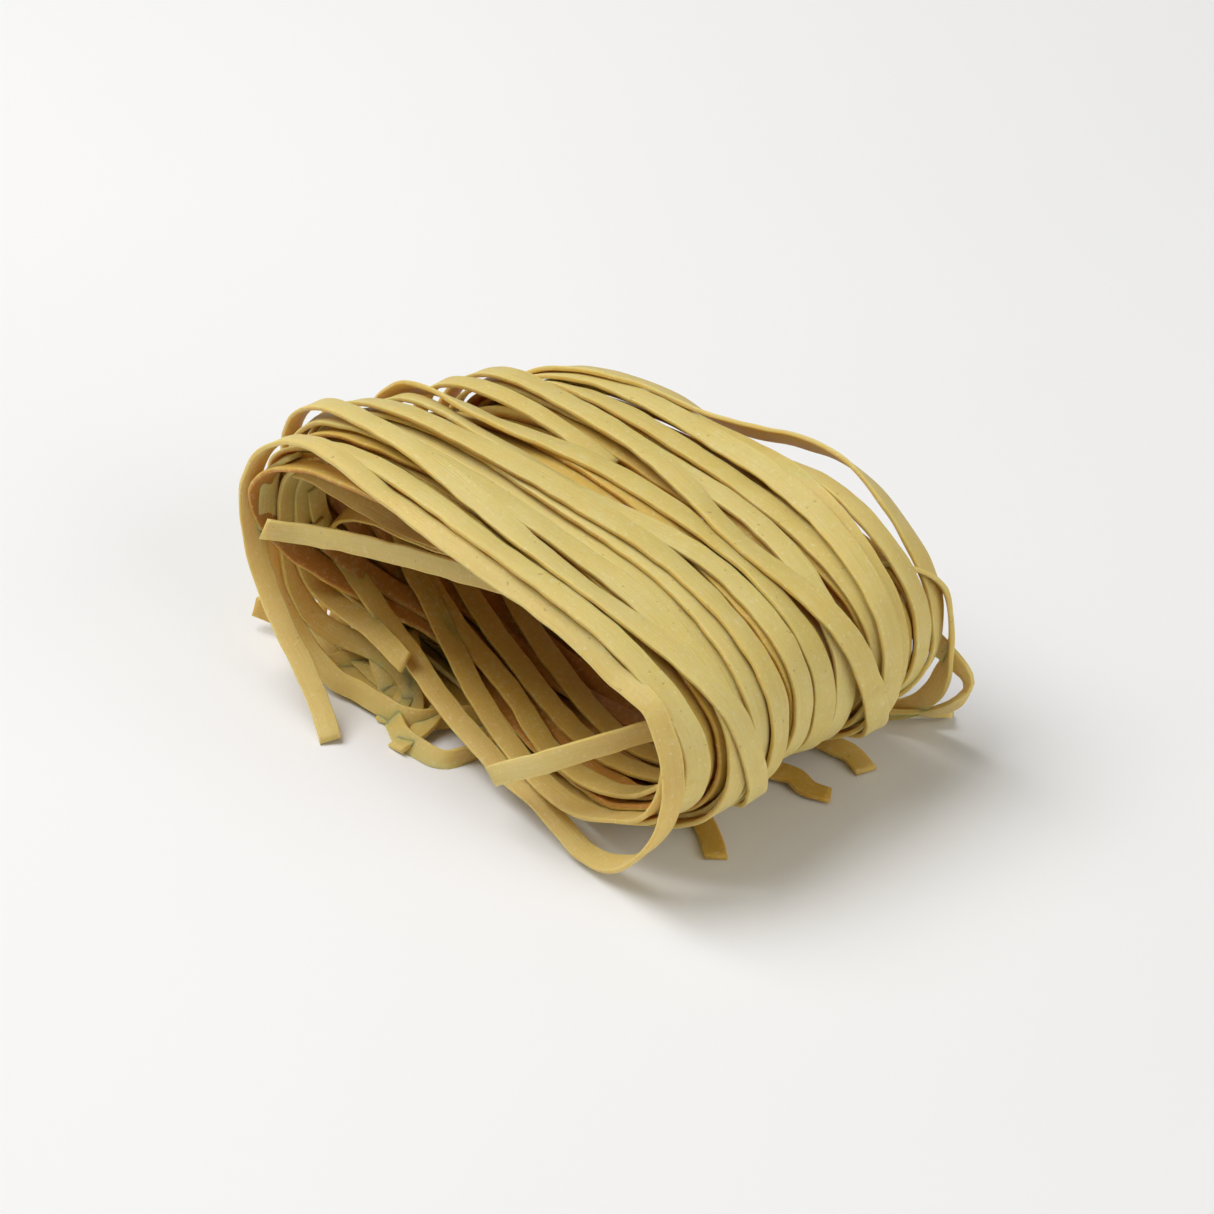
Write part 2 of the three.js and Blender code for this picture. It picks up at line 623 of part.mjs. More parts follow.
// ------------------------------------------------------------------ loose strands
// A smooth curve through points, with a mark on each sample of how many points it has passed.
function curveThrough(points, spacing) {
  const first = points[0].clone().multiplyScalar(2).sub(points[1]);
  const last = points[points.length - 1].clone().multiplyScalar(2).sub(points[points.length - 2]);
  const all = [first, ...points, last];
  const samples = [];
  for (let i = 1; i < all.length - 2; i += 1) {
    const [p0, p1, p2, p3] = all.slice(i - 1, i + 3);
    const d1 = Math.sqrt(p0.distanceTo(p1));
    const d2 = Math.sqrt(p1.distanceTo(p2));
    const d3 = Math.sqrt(p2.distanceTo(p3));
    const slopeAt = (a, b, c, da, db) => b.clone().sub(a).divideScalar(da)
      .addScaledVector(c.clone().sub(a), -1 / (da + db))
      .addScaledVector(c.clone().sub(b), 1 / db)
      .multiplyScalar(d2);
    const m1 = slopeAt(p0, p1, p2, d1, d2);
    const m2 = slopeAt(p1, p2, p3, d2, d3);
    const count = Math.max(1, Math.round(p1.distanceTo(p2) / spacing));
    for (let k = 0; k < count; k += 1) {
      const t = k / count;
      const point = p1.clone().multiplyScalar(2 * t ** 3 - 3 * t ** 2 + 1)
        .addScaledVector(m1, t ** 3 - 2 * t ** 2 + t)
        .addScaledVector(p2, 3 * t ** 2 - 2 * t ** 3)
        .addScaledVector(m2, t ** 3 - t ** 2);
      samples.push({ point, passed: i - 1 + t });
    }
  }
  samples.push({ point: points[points.length - 1].clone(), passed: points.length - 1 });
  return samples;
}

function looseStrand({ through, width }) {
  const samples = curveThrough(through.map(vector), 1);
  const widths = width.map(vector);
  const across = samples.map(({ passed }) => {
    const at = passed / (through.length - 1) * (widths.length - 1);
    const k = Math.min(Math.floor(at), widths.length - 2);
    return widths[k].clone().lerp(widths[k + 1], at - k);
  });
  const points = samples.map((sample) => sample.point);
  return { points, across: squareUp(points, across, false), closed: false, width: LOOSE_WIDTH };
}

function layRimStrand() {
  const whole = courseThrough(RIM_COURSE);
  const firstColumn = Math.round(CREST_COLUMN - RIM_LAID.to / COLUMN_STEP);
  const count = Math.trunc((RIM_LAID.to - RIM_LAID.from) / COLUMN_STEP) + 1;
  const course = Array.from({ length: count }, (_, i) => whole[wrap(firstColumn + i, COLUMNS)]);
  const laid = layStrand(firstColumn, course, false, LOOSE_WIDTH);
  const top = {
    points: laid.points.reverse(),
    across: laid.across.reverse().map((width) => width.negate()),
  };
  const startWidth = vector([-0.5, -0.7, -0.2]);
  const endWidth = vector([0, -1, 0]);
  const headPoints = [...RIM_HANGING_END.map(vector), top.points[0], top.points[6]];
  const head = curveThrough(headPoints, 1).filter(({ passed }) => passed < RIM_HANGING_END.length);
  const lastLaid = top.points.length - 1;
  const tailPoints = [top.points[lastLaid - 6], top.points[lastLaid], ...RIM_SLACK_LOOP.map(vector)];
  const tail = curveThrough(tailPoints, 1).filter(({ passed }) => passed > 1);
  const points = [
    ...head.map((sample) => sample.point),
    ...top.points,
    ...tail.map((sample) => sample.point),
  ];
  const across = [
    ...head.map(({ passed }) => startWidth.clone().lerp(top.across[0], passed / RIM_HANGING_END.length)),
    ...top.across,
    ...tail.map(({ passed }) => top.across[lastLaid].clone()
      .lerp(endWidth, (passed - 1) / RIM_SLACK_LOOP.length)),
  ];
  return { points, across: squareUp(points, across, false), closed: false, width: LOOSE_WIDTH };
}

// ------------------------------------------------------------------ solids
// Keeps the samples that a faceted strand needs.
function neededSamples(strand) {
  const { points, closed } = strand;
  const count = points.length;
  const kept = new Set(closed ? [0, Math.floor(count / 2)] : [0, count - 1]);
  const split = (from, to) => {
    const a = points[from];
    const b = points[to % count];
    const line = new THREE.Line3(a, b);
    const foot = new THREE.Vector3();
    let worst = 0;
    let at = -1;
    for (let i = from + 1; i < to; i += 1) {
      line.closestPointToPoint(points[i % count], true, foot);
      const off = foot.distanceTo(points[i % count]);
      if (off > worst) {
        worst = off;
        at = i;
      }
    }
    if (worst > STRAND_TOLERANCE) {
      split(from, at);
      split(at, to);
    } else if (a.distanceTo(b) > STRAND_LONGEST_STEP) {
      const middle = Math.floor((from + to) / 2);
      split(from, middle);
      split(middle, to);
    } else {
      kept.add(from % count);
    }
  };
  if (closed) {
    split(0, Math.floor(count / 2));
    split(Math.floor(count / 2), count);
  } else {
    split(0, count - 1);
  }
  return [...kept].sort((a, b) => a - b);
}

// A closed ribbon of rectangular section, with its foot sunk into what it lies on.
function ribbonGeometry(strand) {
  const samples = neededSamples(strand);
  const positions = [];
  for (const i of samples) {
    const tangent = tangentAt(strand.points, i, strand.closed);
    const outward = strand.across[i].clone().cross(tangent).normalize();
    const reach = strand.across[i].clone().multiplyScalar(strand.width / 2);
    const top = strand.points[i].clone().addScaledVector(outward, RIBBON_THICKNESS / 2);
    const foot = strand.points[i].clone().addScaledVector(outward, -RIBBON_THICKNESS / 2 - FUSED_DEPTH);
    const corners = [
      foot.clone().sub(reach), foot.clone().add(reach), top.clone().add(reach), top.clone().sub(reach),
    ];
    for (const corner of corners) {
      positions.push(corner.x, corner.y, corner.z);
    }
  }
  const rings = samples.length;
  const index = [];
  const spans = strand.closed ? rings : rings - 1;
  for (let ring = 0; ring < spans; ring += 1) {
    for (let side = 0; side < 4; side += 1) {
      const a = ring * 4 + side;
      const b = ring * 4 + (side + 1) % 4;
      const c = ((ring + 1) % rings) * 4 + (side + 1) % 4;
      const d = ((ring + 1) % rings) * 4 + side;
      index.push(a, b, c, a, c, d);
    }
  }
  if (!strand.closed) {
    const end = (rings - 1) * 4;
    index.push(0, 3, 2, 0, 2, 1);
    index.push(end, end + 1, end + 2, end, end + 2, end + 3);
  }
  return closedGeometry(positions, index);
}

// A geometry with its faces turned to point out.
function closedGeometry(positions, index) {
  let volume = 0;
  const corner = (i) => new THREE.Vector3().fromArray(positions, 3 * i);
  for (let i = 0; i < index.length; i += 3) {
    volume += corner(index[i]).dot(corner(index[i + 1]).cross(corner(index[i + 2])));
  }
  if (volume < 0) {
    for (let i = 0; i < index.length; i += 3) {
      [index[i + 1], index[i + 2]] = [index[i + 2], index[i + 1]];
    }
  }
  const geometry = new THREE.BufferGeometry();
  geometry.setAttribute("position", new THREE.Float32BufferAttribute(positions, 3));
  geometry.setIndex(index);
  return geometry;
}

// The hollow core: a sleeve as thick as the inner turns lie, a little sunk under the outer ones.
function coreGeometry() {
  const positions = [];
  const rowPlace = (column, row) => {
    const front = FRONT_EDGE + pullBack((CREST_COLUMN - column) * COLUMN_STEP, FRONT_EDGE);
    return lerp(front, BACK_EDGE, row / (CORE_ROWS - 1));
  };
  const meanHeight = (column, y) => {
    let sum = 0;
    let count = 0;
    for (let c = -5; c <= 5; c += 1) {
      for (let r = -4; r <= 4; r += 1) {
        sum += heights[wrap(column + c, COLUMNS)][clamp(rowOf(y) + r, 0, ROWS - 1)];
        count += 1;
      }
    }
    return clamp(sum / count, CORE_THINNEST, CORE_THICKEST);
  };
  for (let i = 0; i < CORE_COLUMNS; i += 1) {
    const column = Math.round(i * COLUMNS / CORE_COLUMNS);
    for (let row = 0; row < CORE_ROWS; row += 1) {
      const y = rowPlace(column, row);
      positions.push(...pointOver(column, y, meanHeight(column, y)).toArray());
    }
    for (let row = CORE_ROWS - 1; row >= 0; row -= 1) {
      positions.push(...pointOver(column, rowPlace(column, row), CORE_INSIDE).toArray());
    }
  }
  const around = 2 * CORE_ROWS;
  const index = [];
  for (let i = 0; i < CORE_COLUMNS; i += 1) {
    for (let k = 0; k < around; k += 1) {
      const a = i * around + k;
      const b = i * around + (k + 1) % around;
      const c = ((i + 1) % CORE_COLUMNS) * around + (k + 1) % around;
      const d = ((i + 1) % CORE_COLUMNS) * around + k;
      index.push(a, b, c, a, c, d);
    }
  }
  return closedGeometry(positions, index);
}

// ------------------------------------------------------------------ joining
const wasm = await Module();
wasm.setup();

function toSolid(geometry) {
  return new wasm.Manifold(new wasm.Mesh({
    numProp: 3,
    vertProperties: new Float32Array(geometry.getAttribute("position").array),
    triVerts: new Uint32Array(geometry.getIndex().array),
  }));
}

function toGeometry(solid) {
  const mesh = solid.getMesh();
  const geometry = new THREE.BufferGeometry();
  geometry.setAttribute("position", new THREE.BufferAttribute(mesh.vertProperties, 3));
  geometry.setIndex(new THREE.BufferAttribute(mesh.triVerts, 1));
  return geometry;
}

// What would reach under the floor is cut off flat.
function underFloor() {
  const block = new THREE.BoxGeometry(UNDER_FLOOR_SIZE, UNDER_FLOOR_SIZE, UNDER_FLOOR_SIZE);
  block.translate(0, 0, -UNDER_FLOOR_SIZE / 2);
  block.deleteAttribute("normal");
  block.deleteAttribute("uv");
  return toSolid(mergeVertices(block));
}

layInnerTurns();
const core = coreGeometry();
const turnsUnderTheRim = OUTER_TURNS.slice(0, TURNS_UNDER_THE_RIM).map(layOuterTurn);
const rimStrand = layRimStrand();
const turnsOverTheRim = OUTER_TURNS.slice(TURNS_UNDER_THE_RIM).map(layOuterTurn);
const strands = [...turnsUnderTheRim, rimStrand, ...turnsOverTheRim, ...LOOSE_STRANDS.map(looseStrand)];

let nestSolid = toSolid(core);
for (const strand of strands.filter((each) => !each.covered)) {
  nestSolid = nestSolid.add(toSolid(ribbonGeometry(strand)));
}
nestSolid = nestSolid.subtract(underFloor());
// Only the nest itself is kept: a pocket sealed between strands is filled.
const pieces = nestSolid.decompose();
nestSolid = pieces.reduce((best, piece) => (piece.volume() > best.volume() ? piece : best));

// ------------------------------------------------------------------ the part
const pasta = new THREE.MeshStandardMaterial({ color: 0xdccb8e, roughness: 0.62, metalness: 0 });
const nest = new THREE.Mesh(toGeometry(nestSolid), pasta);
nest.name = "pasta_nest";
// The origin is on the floor, under the middle of the nest's box.
const middle = new THREE.Box3().setFromObject(nest).getCenter(new THREE.Vector3());
nest.position.set(-middle.x, -middle.y, 0);

const part = new THREE.Group();
part.name = "part";
part.add(nest);

export default part;
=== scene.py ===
"""A dry pasta nest: flat ribbons wound into a loose, flattened sleeve that lies on its side."""

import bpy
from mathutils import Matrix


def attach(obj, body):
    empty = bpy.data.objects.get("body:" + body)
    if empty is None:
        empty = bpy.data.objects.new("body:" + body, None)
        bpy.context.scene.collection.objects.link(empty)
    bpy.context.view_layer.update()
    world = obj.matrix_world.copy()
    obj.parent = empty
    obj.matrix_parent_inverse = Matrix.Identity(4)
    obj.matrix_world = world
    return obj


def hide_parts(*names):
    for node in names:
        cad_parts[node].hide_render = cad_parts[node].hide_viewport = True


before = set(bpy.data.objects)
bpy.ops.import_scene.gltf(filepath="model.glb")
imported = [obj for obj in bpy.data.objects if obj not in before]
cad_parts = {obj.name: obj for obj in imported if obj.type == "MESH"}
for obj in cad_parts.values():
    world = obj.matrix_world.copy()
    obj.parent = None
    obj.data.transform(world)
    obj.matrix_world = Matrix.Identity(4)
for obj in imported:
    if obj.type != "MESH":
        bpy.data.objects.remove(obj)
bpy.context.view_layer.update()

import math

import bpy
import numpy as np
from mathutils import Vector

# ------------------------------------------------------------------ driving dimensions, in millimetres
MM = 0.001
RIBBON_WIDTH = 3.1
LOOSE_WIDTH = 2.8
RIBBON_THICKNESS = 0.64
# Each ribbon lies this far over the one under it, so a little air stays between the layers.
LAYER_STEP = 0.85
NEST_DEPTH = 43.0

# The tunnel's section at the front and at the back. The front's top is tilted, with its left end up. The
# shoulders are the roundness of the two upper quarters: 2 is an ellipse, more is nearer a box.
FRONT = dict(
    half_length=35.8, rise=12.0, drop=16.5, tilt=10.5, x=-2.2, z=21.5, left_shoulder=1.9, right_shoulder=2.35,
)
BACK = dict(
    half_length=32.5, rise=10.6, drop=13.6, tilt=1.6, x=1.3, z=18.5, left_shoulder=2.3, right_shoulder=2.9,
)
# The same for the two lower quarters.
BOTTOM_LEFT = 2.2
BOTTOM_RIGHT = 2.2
# The section goes on changing for this share of the depth past each end.
PAST_THE_ENDS = 0.15
SECTION_SAMPLES = 2880

# The height map of the laid strands: columns round the loop, rows across the nest.
COLUMNS = 420
ROW_SIZE = 0.4
ROW_REACH = 34.0
ROWS = round(2 * ROW_REACH / ROW_SIZE)

# How stiffly a ribbon bridges what is under it: smoothing, in columns, before, while and after it is
# pressed back onto its support.
STIFF_FIRST = 5
STIFF_PASSES = 5
STIFF_PASS = 9
STIFF_LAST = 7

# The inner turns, laid by rule: from where and how far they spread in y, the sizes of the waves in which
# each wanders, and their width as a share of the ribbon's.
INNER_TURNS = 26
INNER_FIRST = -20.5
INNER_SPREAD = 42.5
INNER_WAVES = (1.9, 1.3, 0.8)
INNER_WAVE_SPREAD = 1.1
INNER_WIDTH_LEAST = 0.92
INNER_WIDTH_SPREAD = 0.16

# No turn's middle is laid past these.
FRONT_EDGE = -22.0
BACK_EDGE = 23.0

# How far the turns at the front run back into the nest at the bottom left, and where, in mm of loop
# past the crest over the left end.
PULL_MOST = 12.5
PULL_FROM = 36.0
PULL_FULL = 62.0
PULL_TO = 104.0
PULL_NEAR_Y = 3.0
PULL_SPAN_Y = 23.5

# How far the inner turns near the back rim run forward at the top right.
DRAWN_IN_MOST = 1.2
DRAWN_IN_AT = 12.0
DRAWN_IN_REACH = 20.0
DRAWN_IN_NEAR_Y = 8.0
DRAWN_IN_SPAN_Y = 10.0

# The outer turns in the order in which they lie over each other: their y at these distances past the
# crest, counted toward the right end. A raised turn stands off the rest for a stretch: where its middle
# is, how far it reaches each way, and by how much at its front and at its back edge.
STATIONS = (-20, 0, 20, 40, 52)
NOT_RAISED = (0, 1, 0, 0)
OUTER_TURNS = [
    ((-10, -8.5, -9.3, -12, -12), NOT_RAISED),
    ((-8, -7.5, -6.7, -9.3, -9.5), NOT_RAISED),
    ((-14.5, -13.6, -12.3, -13.5, -13.5), NOT_RAISED),
    ((9.5, 9.5, 9.5, 6.2, 6.6), (-27, 14, 0.9, 0.9)),
    ((21.5, 20.6, 20.5, 20.2, 18), (18, 20, 3.4, 3.4)),
    ((20.5, 20, 17.6, 15.1, 15), NOT_RAISED),
    ((-4.5, -4.3, -0.7, -1.5, -2), (-29, 14, 2.4, 2.4)),
    ((15.5, 14.5, 13.3, 12, 12), NOT_RAISED),
    ((19, 17.8, 15.8, 12.5, 12.5), NOT_RAISED),
    ((-2, 1.7, 2.5, 2.5, 3), (-31, 16, 1.5, 1.5)),
    ((-9, -6.8, -4.6, -6.5, -8), (-27, 14, 0.3, 0.3)),
    ((21, 23.4, 24.8, 23.8, 19.5), (16, 22, 7.8, 5.4)),
    ((-19.3, -20.6, -19.4, -18.8, -19.2), NOT_RAISED),
    ((9, 8.2, 4.9, 9.3, 16), (-27, 14, 0.5, 0.5)),
    ((-15.5, -16.9, -16.2, -11.4, -5), (-33, 9, 0.6, 0.6)),
]
# The rim strand is laid after this many of them.
TURNS_UNDER_THE_RIM = 12
# Under the nest, where a turn isn't placed, it wanders through this many stations.
HIDDEN_STATIONS = 4
HIDDEN_WANDER = 3.0
HIDDEN_FRONT_EDGE = -21.5
OUTER_WIDTH_LEAST = 0.97
OUTER_WIDTH_SPREAD = 0.1

# The front rim: one long strand from a hanging end at the left, over the top and round the right end,
# down in a slack loop, and back into the nest along its bottom.
RIM_COURSE = [(-32, -22), (-20, -22.4), (0, -23), (20, -21.4), (40, -22), (60, -23), (110, -23)]
RIM_LAID_FROM = -14
RIM_LAID_TO = 26
# The hanging end and the slack loop join the laid stretch through its first and last columns, this many
# apart, and start or end with their width along these.
RIM_JOIN_COLUMNS = 6
RIM_END_ACROSS = (-0.5, -0.7, -0.2)
RIM_LOOP_ACROSS = (0.0, -1.0, 0.0)
RIM_HANGING_END = [
    (-18.2, -28.8, 0.45), (-21.5, -27.2, 2.7), (-25.5, -26, 5.6), (-31, -24.8, 9.4), (-36, -23.6, 13.9),
    (-38.9, -22.8, 19), (-39.9, -22.3, 24.6), (-38.6, -22.1, 29.4), (-36.4, -22, 32.6), (-33.2, -22, 35.1),
    (-29.3, -22.2, 36.9), (-25, -22.4, 37.8),
]
RIM_SLACK_LOOP = [
    (32, -21.6, 26.6), (35, -22, 22.8), (36.6, -22.6, 19.4), (36.9, -23.1, 16), (35.9, -23.6, 11.7),
    (33.2, -24, 7.3), (28.8, -23.9, 3.3), (22.4, -23.5, 1.7), (12.9, -22, 3.8), (6.2, -21.4, 4.2),
    (0.2, -20.4, 5.2), (-9.5, -18, 6.3), (-16.3, -16, 7.7), (-24, -14, 9.4), (-31.5, -12.4, 11.8),
    (-34.4, -13, 14.8), (-35.9, -14, 19), (-36.3, -14.6, 24),
]

# The loose strands: the points that each runs through, and the way its width points along it.
UP = (0, 0.1, 1)
ALONG_Y = (0, 1, 0)
SLANTED = (0.2, 0.6, 0.6)
SLANTED_BACK = (0.2, 0.6, -0.6)
CURVE_SPACING = 1.0
LOOSE_STRANDS = [
    # across the opening, on edge, under the top rim
    ([(-34.2, -25, 23), (-30.7, -22.5, 22.8), (-22.3, -21, 24.6), (-5.3, -17.5, 26.5), (4, -15, 27),
      (16, -10, 28.5)], [UP, UP]),
    # sagging under the top at the left
    (
        [(-37.5, -17.5, 27.5), (-33.5, -18, 29), (-25.5, -17.5, 28.5), (-20, -16.5, 27.5), (-14.8, -15, 26.8),
         (-8, -12.5, 26.5), (2, -8, 28.5)],
        [SLANTED, SLANTED],
    ),
    # a second one behind it
    (
        [(-36, -12, 17), (-33, -12, 20.3), (-27.7, -12, 22.3), (-21.1, -12, 23), (-13.7, -11, 23.6),
         (-2, -6, 26)],
        [SLANTED, SLANTED],
    ),
    # stub across the opening at the right
    ([(8.7, -26, 7.2), (19.7, -25, 14.9), (29.4, -17, 20.3), (32.8, -13.5, 21.2), (35.4, -10, 21.2)],
     [UP, UP]),
    # four strands along the bottom of the opening, running back into the nest at the left
    (
        [(-33.5, -3.5, 17), (-30.5, -4.5, 13.3), (-27.3, -5.9, 11.2), (-23.2, -7, 9.3), (-17.2, -9.2, 7.1),
         (-7.9, -13.5, 6), (0.5, -17, 5.7), (6.5, -19.3, 5.8), (15.9, -21.5, 5.5), (21.2, -21.5, 5.9),
         (26.4, -21.5, 7.9), (30.7, -21, 10.1), (32.9, -20.5, 13.9), (33.6, -19.5, 20)],
        [(0.3, 1, 0.2), ALONG_Y],
    ),
    (
        [(-33.5, -2, 17.5), (-30, -3.6, 13), (-26.6, -4.8, 10.7), (-17.7, -7, 7.4), (-13, -8, 6.5),
         (-5.2, -10, 5.8), (7.7, -15.4, 5.6), (15, -17.5, 6.7), (22, -18.5, 8.3), (28, -18.5, 11),
         (32.3, -18, 15.5), (33, -17, 21)],
        [(0.3, 1, 0.1), ALONG_Y],
    ),
    (
        [(-31.5, 2.5, 15), (-28, 1, 11.5), (-23.2, -1, 9), (-16.7, -2.8, 6.9), (-8.3, -5.4, 5.9),
         (3, -9.2, 5.6), (10.4, -11.2, 5.9), (18, -13, 7.4), (25, -13.5, 9.4), (30.5, -13.5, 12.7),
         (33.2, -13, 18)],
        [(0.3, 1, 0.1), ALONG_Y],
    ),
    (
        [(-31, 9, 15), (-27, 7.5, 11), (-18.3, 3.1, 7.4), (-4.2, -2.3, 5.7), (9.9, -7, 5.8), (18, -9, 7.4),
         (26, -9.5, 9.9), (31, -9.5, 13.5), (33.2, -9.5, 18)],
        [(0.3, 1, 0.1), ALONG_Y],
    ),
    # three strands down inside the left end: two turn in with an end, the third is slack over the floor
    (
        [(-15.2, -18.6, 9), (-19.4, -17.4, 9), (-24.4, -16.2, 8.9), (-29.6, -15.9, 9), (-34.6, -16, 10),
         (-36, -16.8, 14), (-36.6, -16.4, 20), (-36, -16.2, 25.6), (-32, -16, 30.5)],
        [(0.4, 0.5, 0.7), ALONG_Y, ALONG_Y],
    ),
    (
        [(-14.5, -18.2, 0.9), (-15.5, -17, 1.4), (-18, -15.4, 2.7), (-20.6, -15, 3.9), (-24.3, -15.1, 4.6),
         (-29.4, -16.2, 4.9), (-33.5, -17.4, 6.4), (-36, -18.2, 10), (-37.2, -18.6, 17), (-36.2, -18.6, 26.5),
         (-32.5, -18.5, 31.5)],
        [(0.5, 0.65, 0.15), (0.3, 0.7, 0.5), SLANTED, ALONG_Y, ALONG_Y],
    ),
    (
        [(-3, -9, 1.4), (-8.6, -14.2, 2), (-10.8, -16.9, 1.9), (-12.6, -19.2, 1.8), (-16.6, -20.1, 1.8),
         (-22.2, -20.2, 1.9), (-26.5, -20.7, 2.2), (-31.9, -20, 3.6), (-36, -20, 7), (-38.2, -20.6, 13.2),
         (-38.4, -20.8, 20.5), (-37, -20.8, 28.6), (-32, -20.8, 33)],
        [(-0.3, 0.5, 0.8), (0.1, 0.45, 0.85), (0, 0.55, 0.75), (0.2, 0.8, 0.3), ALONG_Y],
    ),
    # a curl on the floor below them and two ends beside it
    (
        [(-17, -19.6, 1.2), (-12.5, -22, 1), (-8.7, -22.3, 0.7), (-4.6, -21.6, 0.7), (-3, -18.4, 1.2),
         (-2.6, -13.4, 2)],
        [(0.4, 0.5, 0.7), (0.2, 0.8, 0.5)],
    ),
    ([(-20, -12, 3), (-17.4, -17, 1.6), (-16.4, -21.3, 0.5)], [(1, 0.2, 0), (1, 0.2, 0)]),
    ([(-11.6, -15, 3), (-11.2, -19.6, 1.4), (-11.2, -24.2, 0.5)], [(1, 0, 0), (1, 0, 0.2)]),
    # short curved strands on the floor inside
    ([(-30.5, -18.4, 1), (-28.2, -16.4, 2.3), (-26, -14, 3.6), (-24, -9, 4)],
     [(0.5, -0.1, -0.7), (0.5, -0.1, -0.7)]),
    ([(-29.5, -11, 4.6), (-25.6, -14.2, 4.2), (-22.7, -15.8, 3.4), (-20.9, -16.6, 2.4), (-19.2, -17.8, 0.9)],
     [(0.5, 0.65, 0.15), (0.5, 0.65, 0.15)]),
    ([(-25, -9.5, 5), (-21, -12.5, 4.6), (-19, -14, 3.9), (-16.9, -14.7, 2.6), (-14.9, -15.6, 0.9)],
     [(0.5, 0.65, 0.15), (0.5, 0.65, 0.15)]),
    (
        [(-38.1, -7.6, 4.8), (-36.8, -10.8, 3.1), (-34.2, -13, 2.8), (-31, -14.6, 2.6),
         (-26.5, -15.6, 2.3), (-20, -16.6, 2)],
        [(0.1, 0.7, 0.7), (0.3, 0.8, 0.4), (0.3, 0.8, 0.3)],
    ),
    # one down the left wall and one on the floor along it
    (
        [(-35.5, -15.5, 19), (-36.8, -14.2, 12), (-36.9, -12.6, 8), (-36.3, -10.6, 5.2), (-34, -8.6, 3),
         (-29, -7.6, 1.5), (-24, -7.9, 1), (-18.4, -9.2, 0.9), (-11.5, -11.3, 0.9), (-4, -13.5, 0.9)],
        [(0.2, 0.8, 0.5), (0.3, 0.8, 0.4), (0.2, 1, 0), (0.2, 1, 0)],
    ),
    ([(-38.5, -13, 4.5), (-36, -15.6, 2), (-32, -16.8, 1.2), (-26, -17.6, 1.2), (-19, -19, 1)],
     [(0.3, 0.8, 0.3), (0.2, 0.9, 0.1)]),
    # end behind the left rim
    ([(-28, -13, 3), (-37, -15.5, 2.6), (-45, -18, 3.2)], [(0.1, 0.6, 0.8), (0.1, 0.2, 1)]),
    # ends on the floor at the right
    ([(20, -5, 1.2), (27.4, -7.9, 0.6), (33.2, -11.6, 0.45)], [ALONG_Y, ALONG_Y]),
    ([(19, 4, 1.4), (25, 5.6, 1.3), (28.4, 6.9, 1), (31, 6.5, 0.75), (33.9, 7.6, 0.6)],
     [(0, 1, 0.3), (0.2, 1, -0.1)]),
    ([(20, 14.5, 1.4), (26, 14.9, 1.3), (29.7, 15.6, 1), (33.2, 14.8, 0.5)], [(0, 1, 0.2), (0.4, 1, 0)]),
    # over the left shoulder, under the raised turn there
    (
        [(-36.5, 4.2, 19), (-37.4, 4.2, 25), (-35.8, 4.3, 29.8), (-32.4, 4.4, 33), (-28, 4.5, 34.7),
         (-23, 4.7, 35.4), (-17, 5, 35.4), (-10, 5.2, 34.6), (-3, 5.4, 33.2)],
        [ALONG_Y, ALONG_Y],
    ),
    # two loops and an end at the far right
    (
        [(29, 20, 27), (32, 22.5, 26.6), (34.2, 25, 24.8), (35.2, 26, 22.8), (35.9, 26, 20.7),
         (36.4, 26, 16.8), (36.1, 26, 13.8), (35.5, 26, 11.6), (34, 26, 8), (31.2, 26, 4.4),
         (27.6, 25.5, 1.9), (23, 24, 1.2)],
        [(0.6, -0.6, 0.5), (0.6, -0.6, 0.5), (0.7, -0.6, 0.2), (0.7, 0.1, -0.7), (0.7, 0.2, -0.7)],
    ),
    (
        [(33.8, 22, 19), (34.7, 26, 14.4), (38.3, 27, 11.3), (37, 27.2, 7.4), (32.8, 27, 3.4),
         (26, 24, 1.6)],
        [(0.2, 0.2, 1), (0.6, -0.6, 0.6)],
    ),
    ([(24, 22, 1.8), (29, 27, 1.3), (32.7, 31, 1.1)], [(0.6, -0.6, 0.5), (0.6, -0.6, 0.5)]),
    # the back opening: a sagging strand, a stub and a slack loop
    (
        [(32, 15, 28), (22, 19, 29.5), (8, 21, 28), (-8, 20.5, 29.5), (-18, 17, 30.5)],
        [SLANTED_BACK, SLANTED_BACK],
    ),
    ([(-14, 27, 4.5), (-21, 24.5, 9.5), (-28.5, 19, 15), (-31.5, 13, 16.5)], [UP, UP]),
    (
        [(-31.5, 20, 22), (-32.5, 24, 14), (-26, 26.5, 4), (-14, 26, 1.2), (0, 22, 1.4), (8, 17, 2)],
        [ALONG_Y, ALONG_Y],
    ),
]

RANDOM_SEED = 20611
MULTIPLIER = 16807
MODULUS = 2147483647
# The first draws of small seeds are alike, so the meshes skip this many.
SKIPPED_DRAWS = 5

# The winding is laid out from the tunnel's middle; the part's origin is under the middle of its box.
ORIGIN_SHIFT = np.array([2.75, -0.85, 0.0])


# ------------------------------------------------------------------ small helpers
def lerp(a, b, t):
    return a + (b - a) * t


def clamp(value, low, high):
    return min(high, max(low, value))


def smooth_step(t):
    u = clamp(t, 0.0, 1.0)
    return u * u * (3 - 2 * u)


def unit(rows):
    return rows / np.linalg.norm(rows, axis=1)[:, None]


def random_draws(seed):
    """Seeded draws between 0 and 1, by a Lehmer generator."""
    state = seed
    while True:
        state = (state * MULTIPLIER) % MODULUS
        yield state / MODULUS


draws = random_draws(RANDOM_SEED)


def draw():
    return next(draws)


# ------------------------------------------------------------------ the tunnel's section
def section_at(y):
    v = clamp(y / NEST_DEPTH + 0.5, -PAST_THE_ENDS, 1 + PAST_THE_ENDS)
    return {key: lerp(FRONT[key], BACK[key], smooth_step(v) if key == "tilt" else v) for key in FRONT}


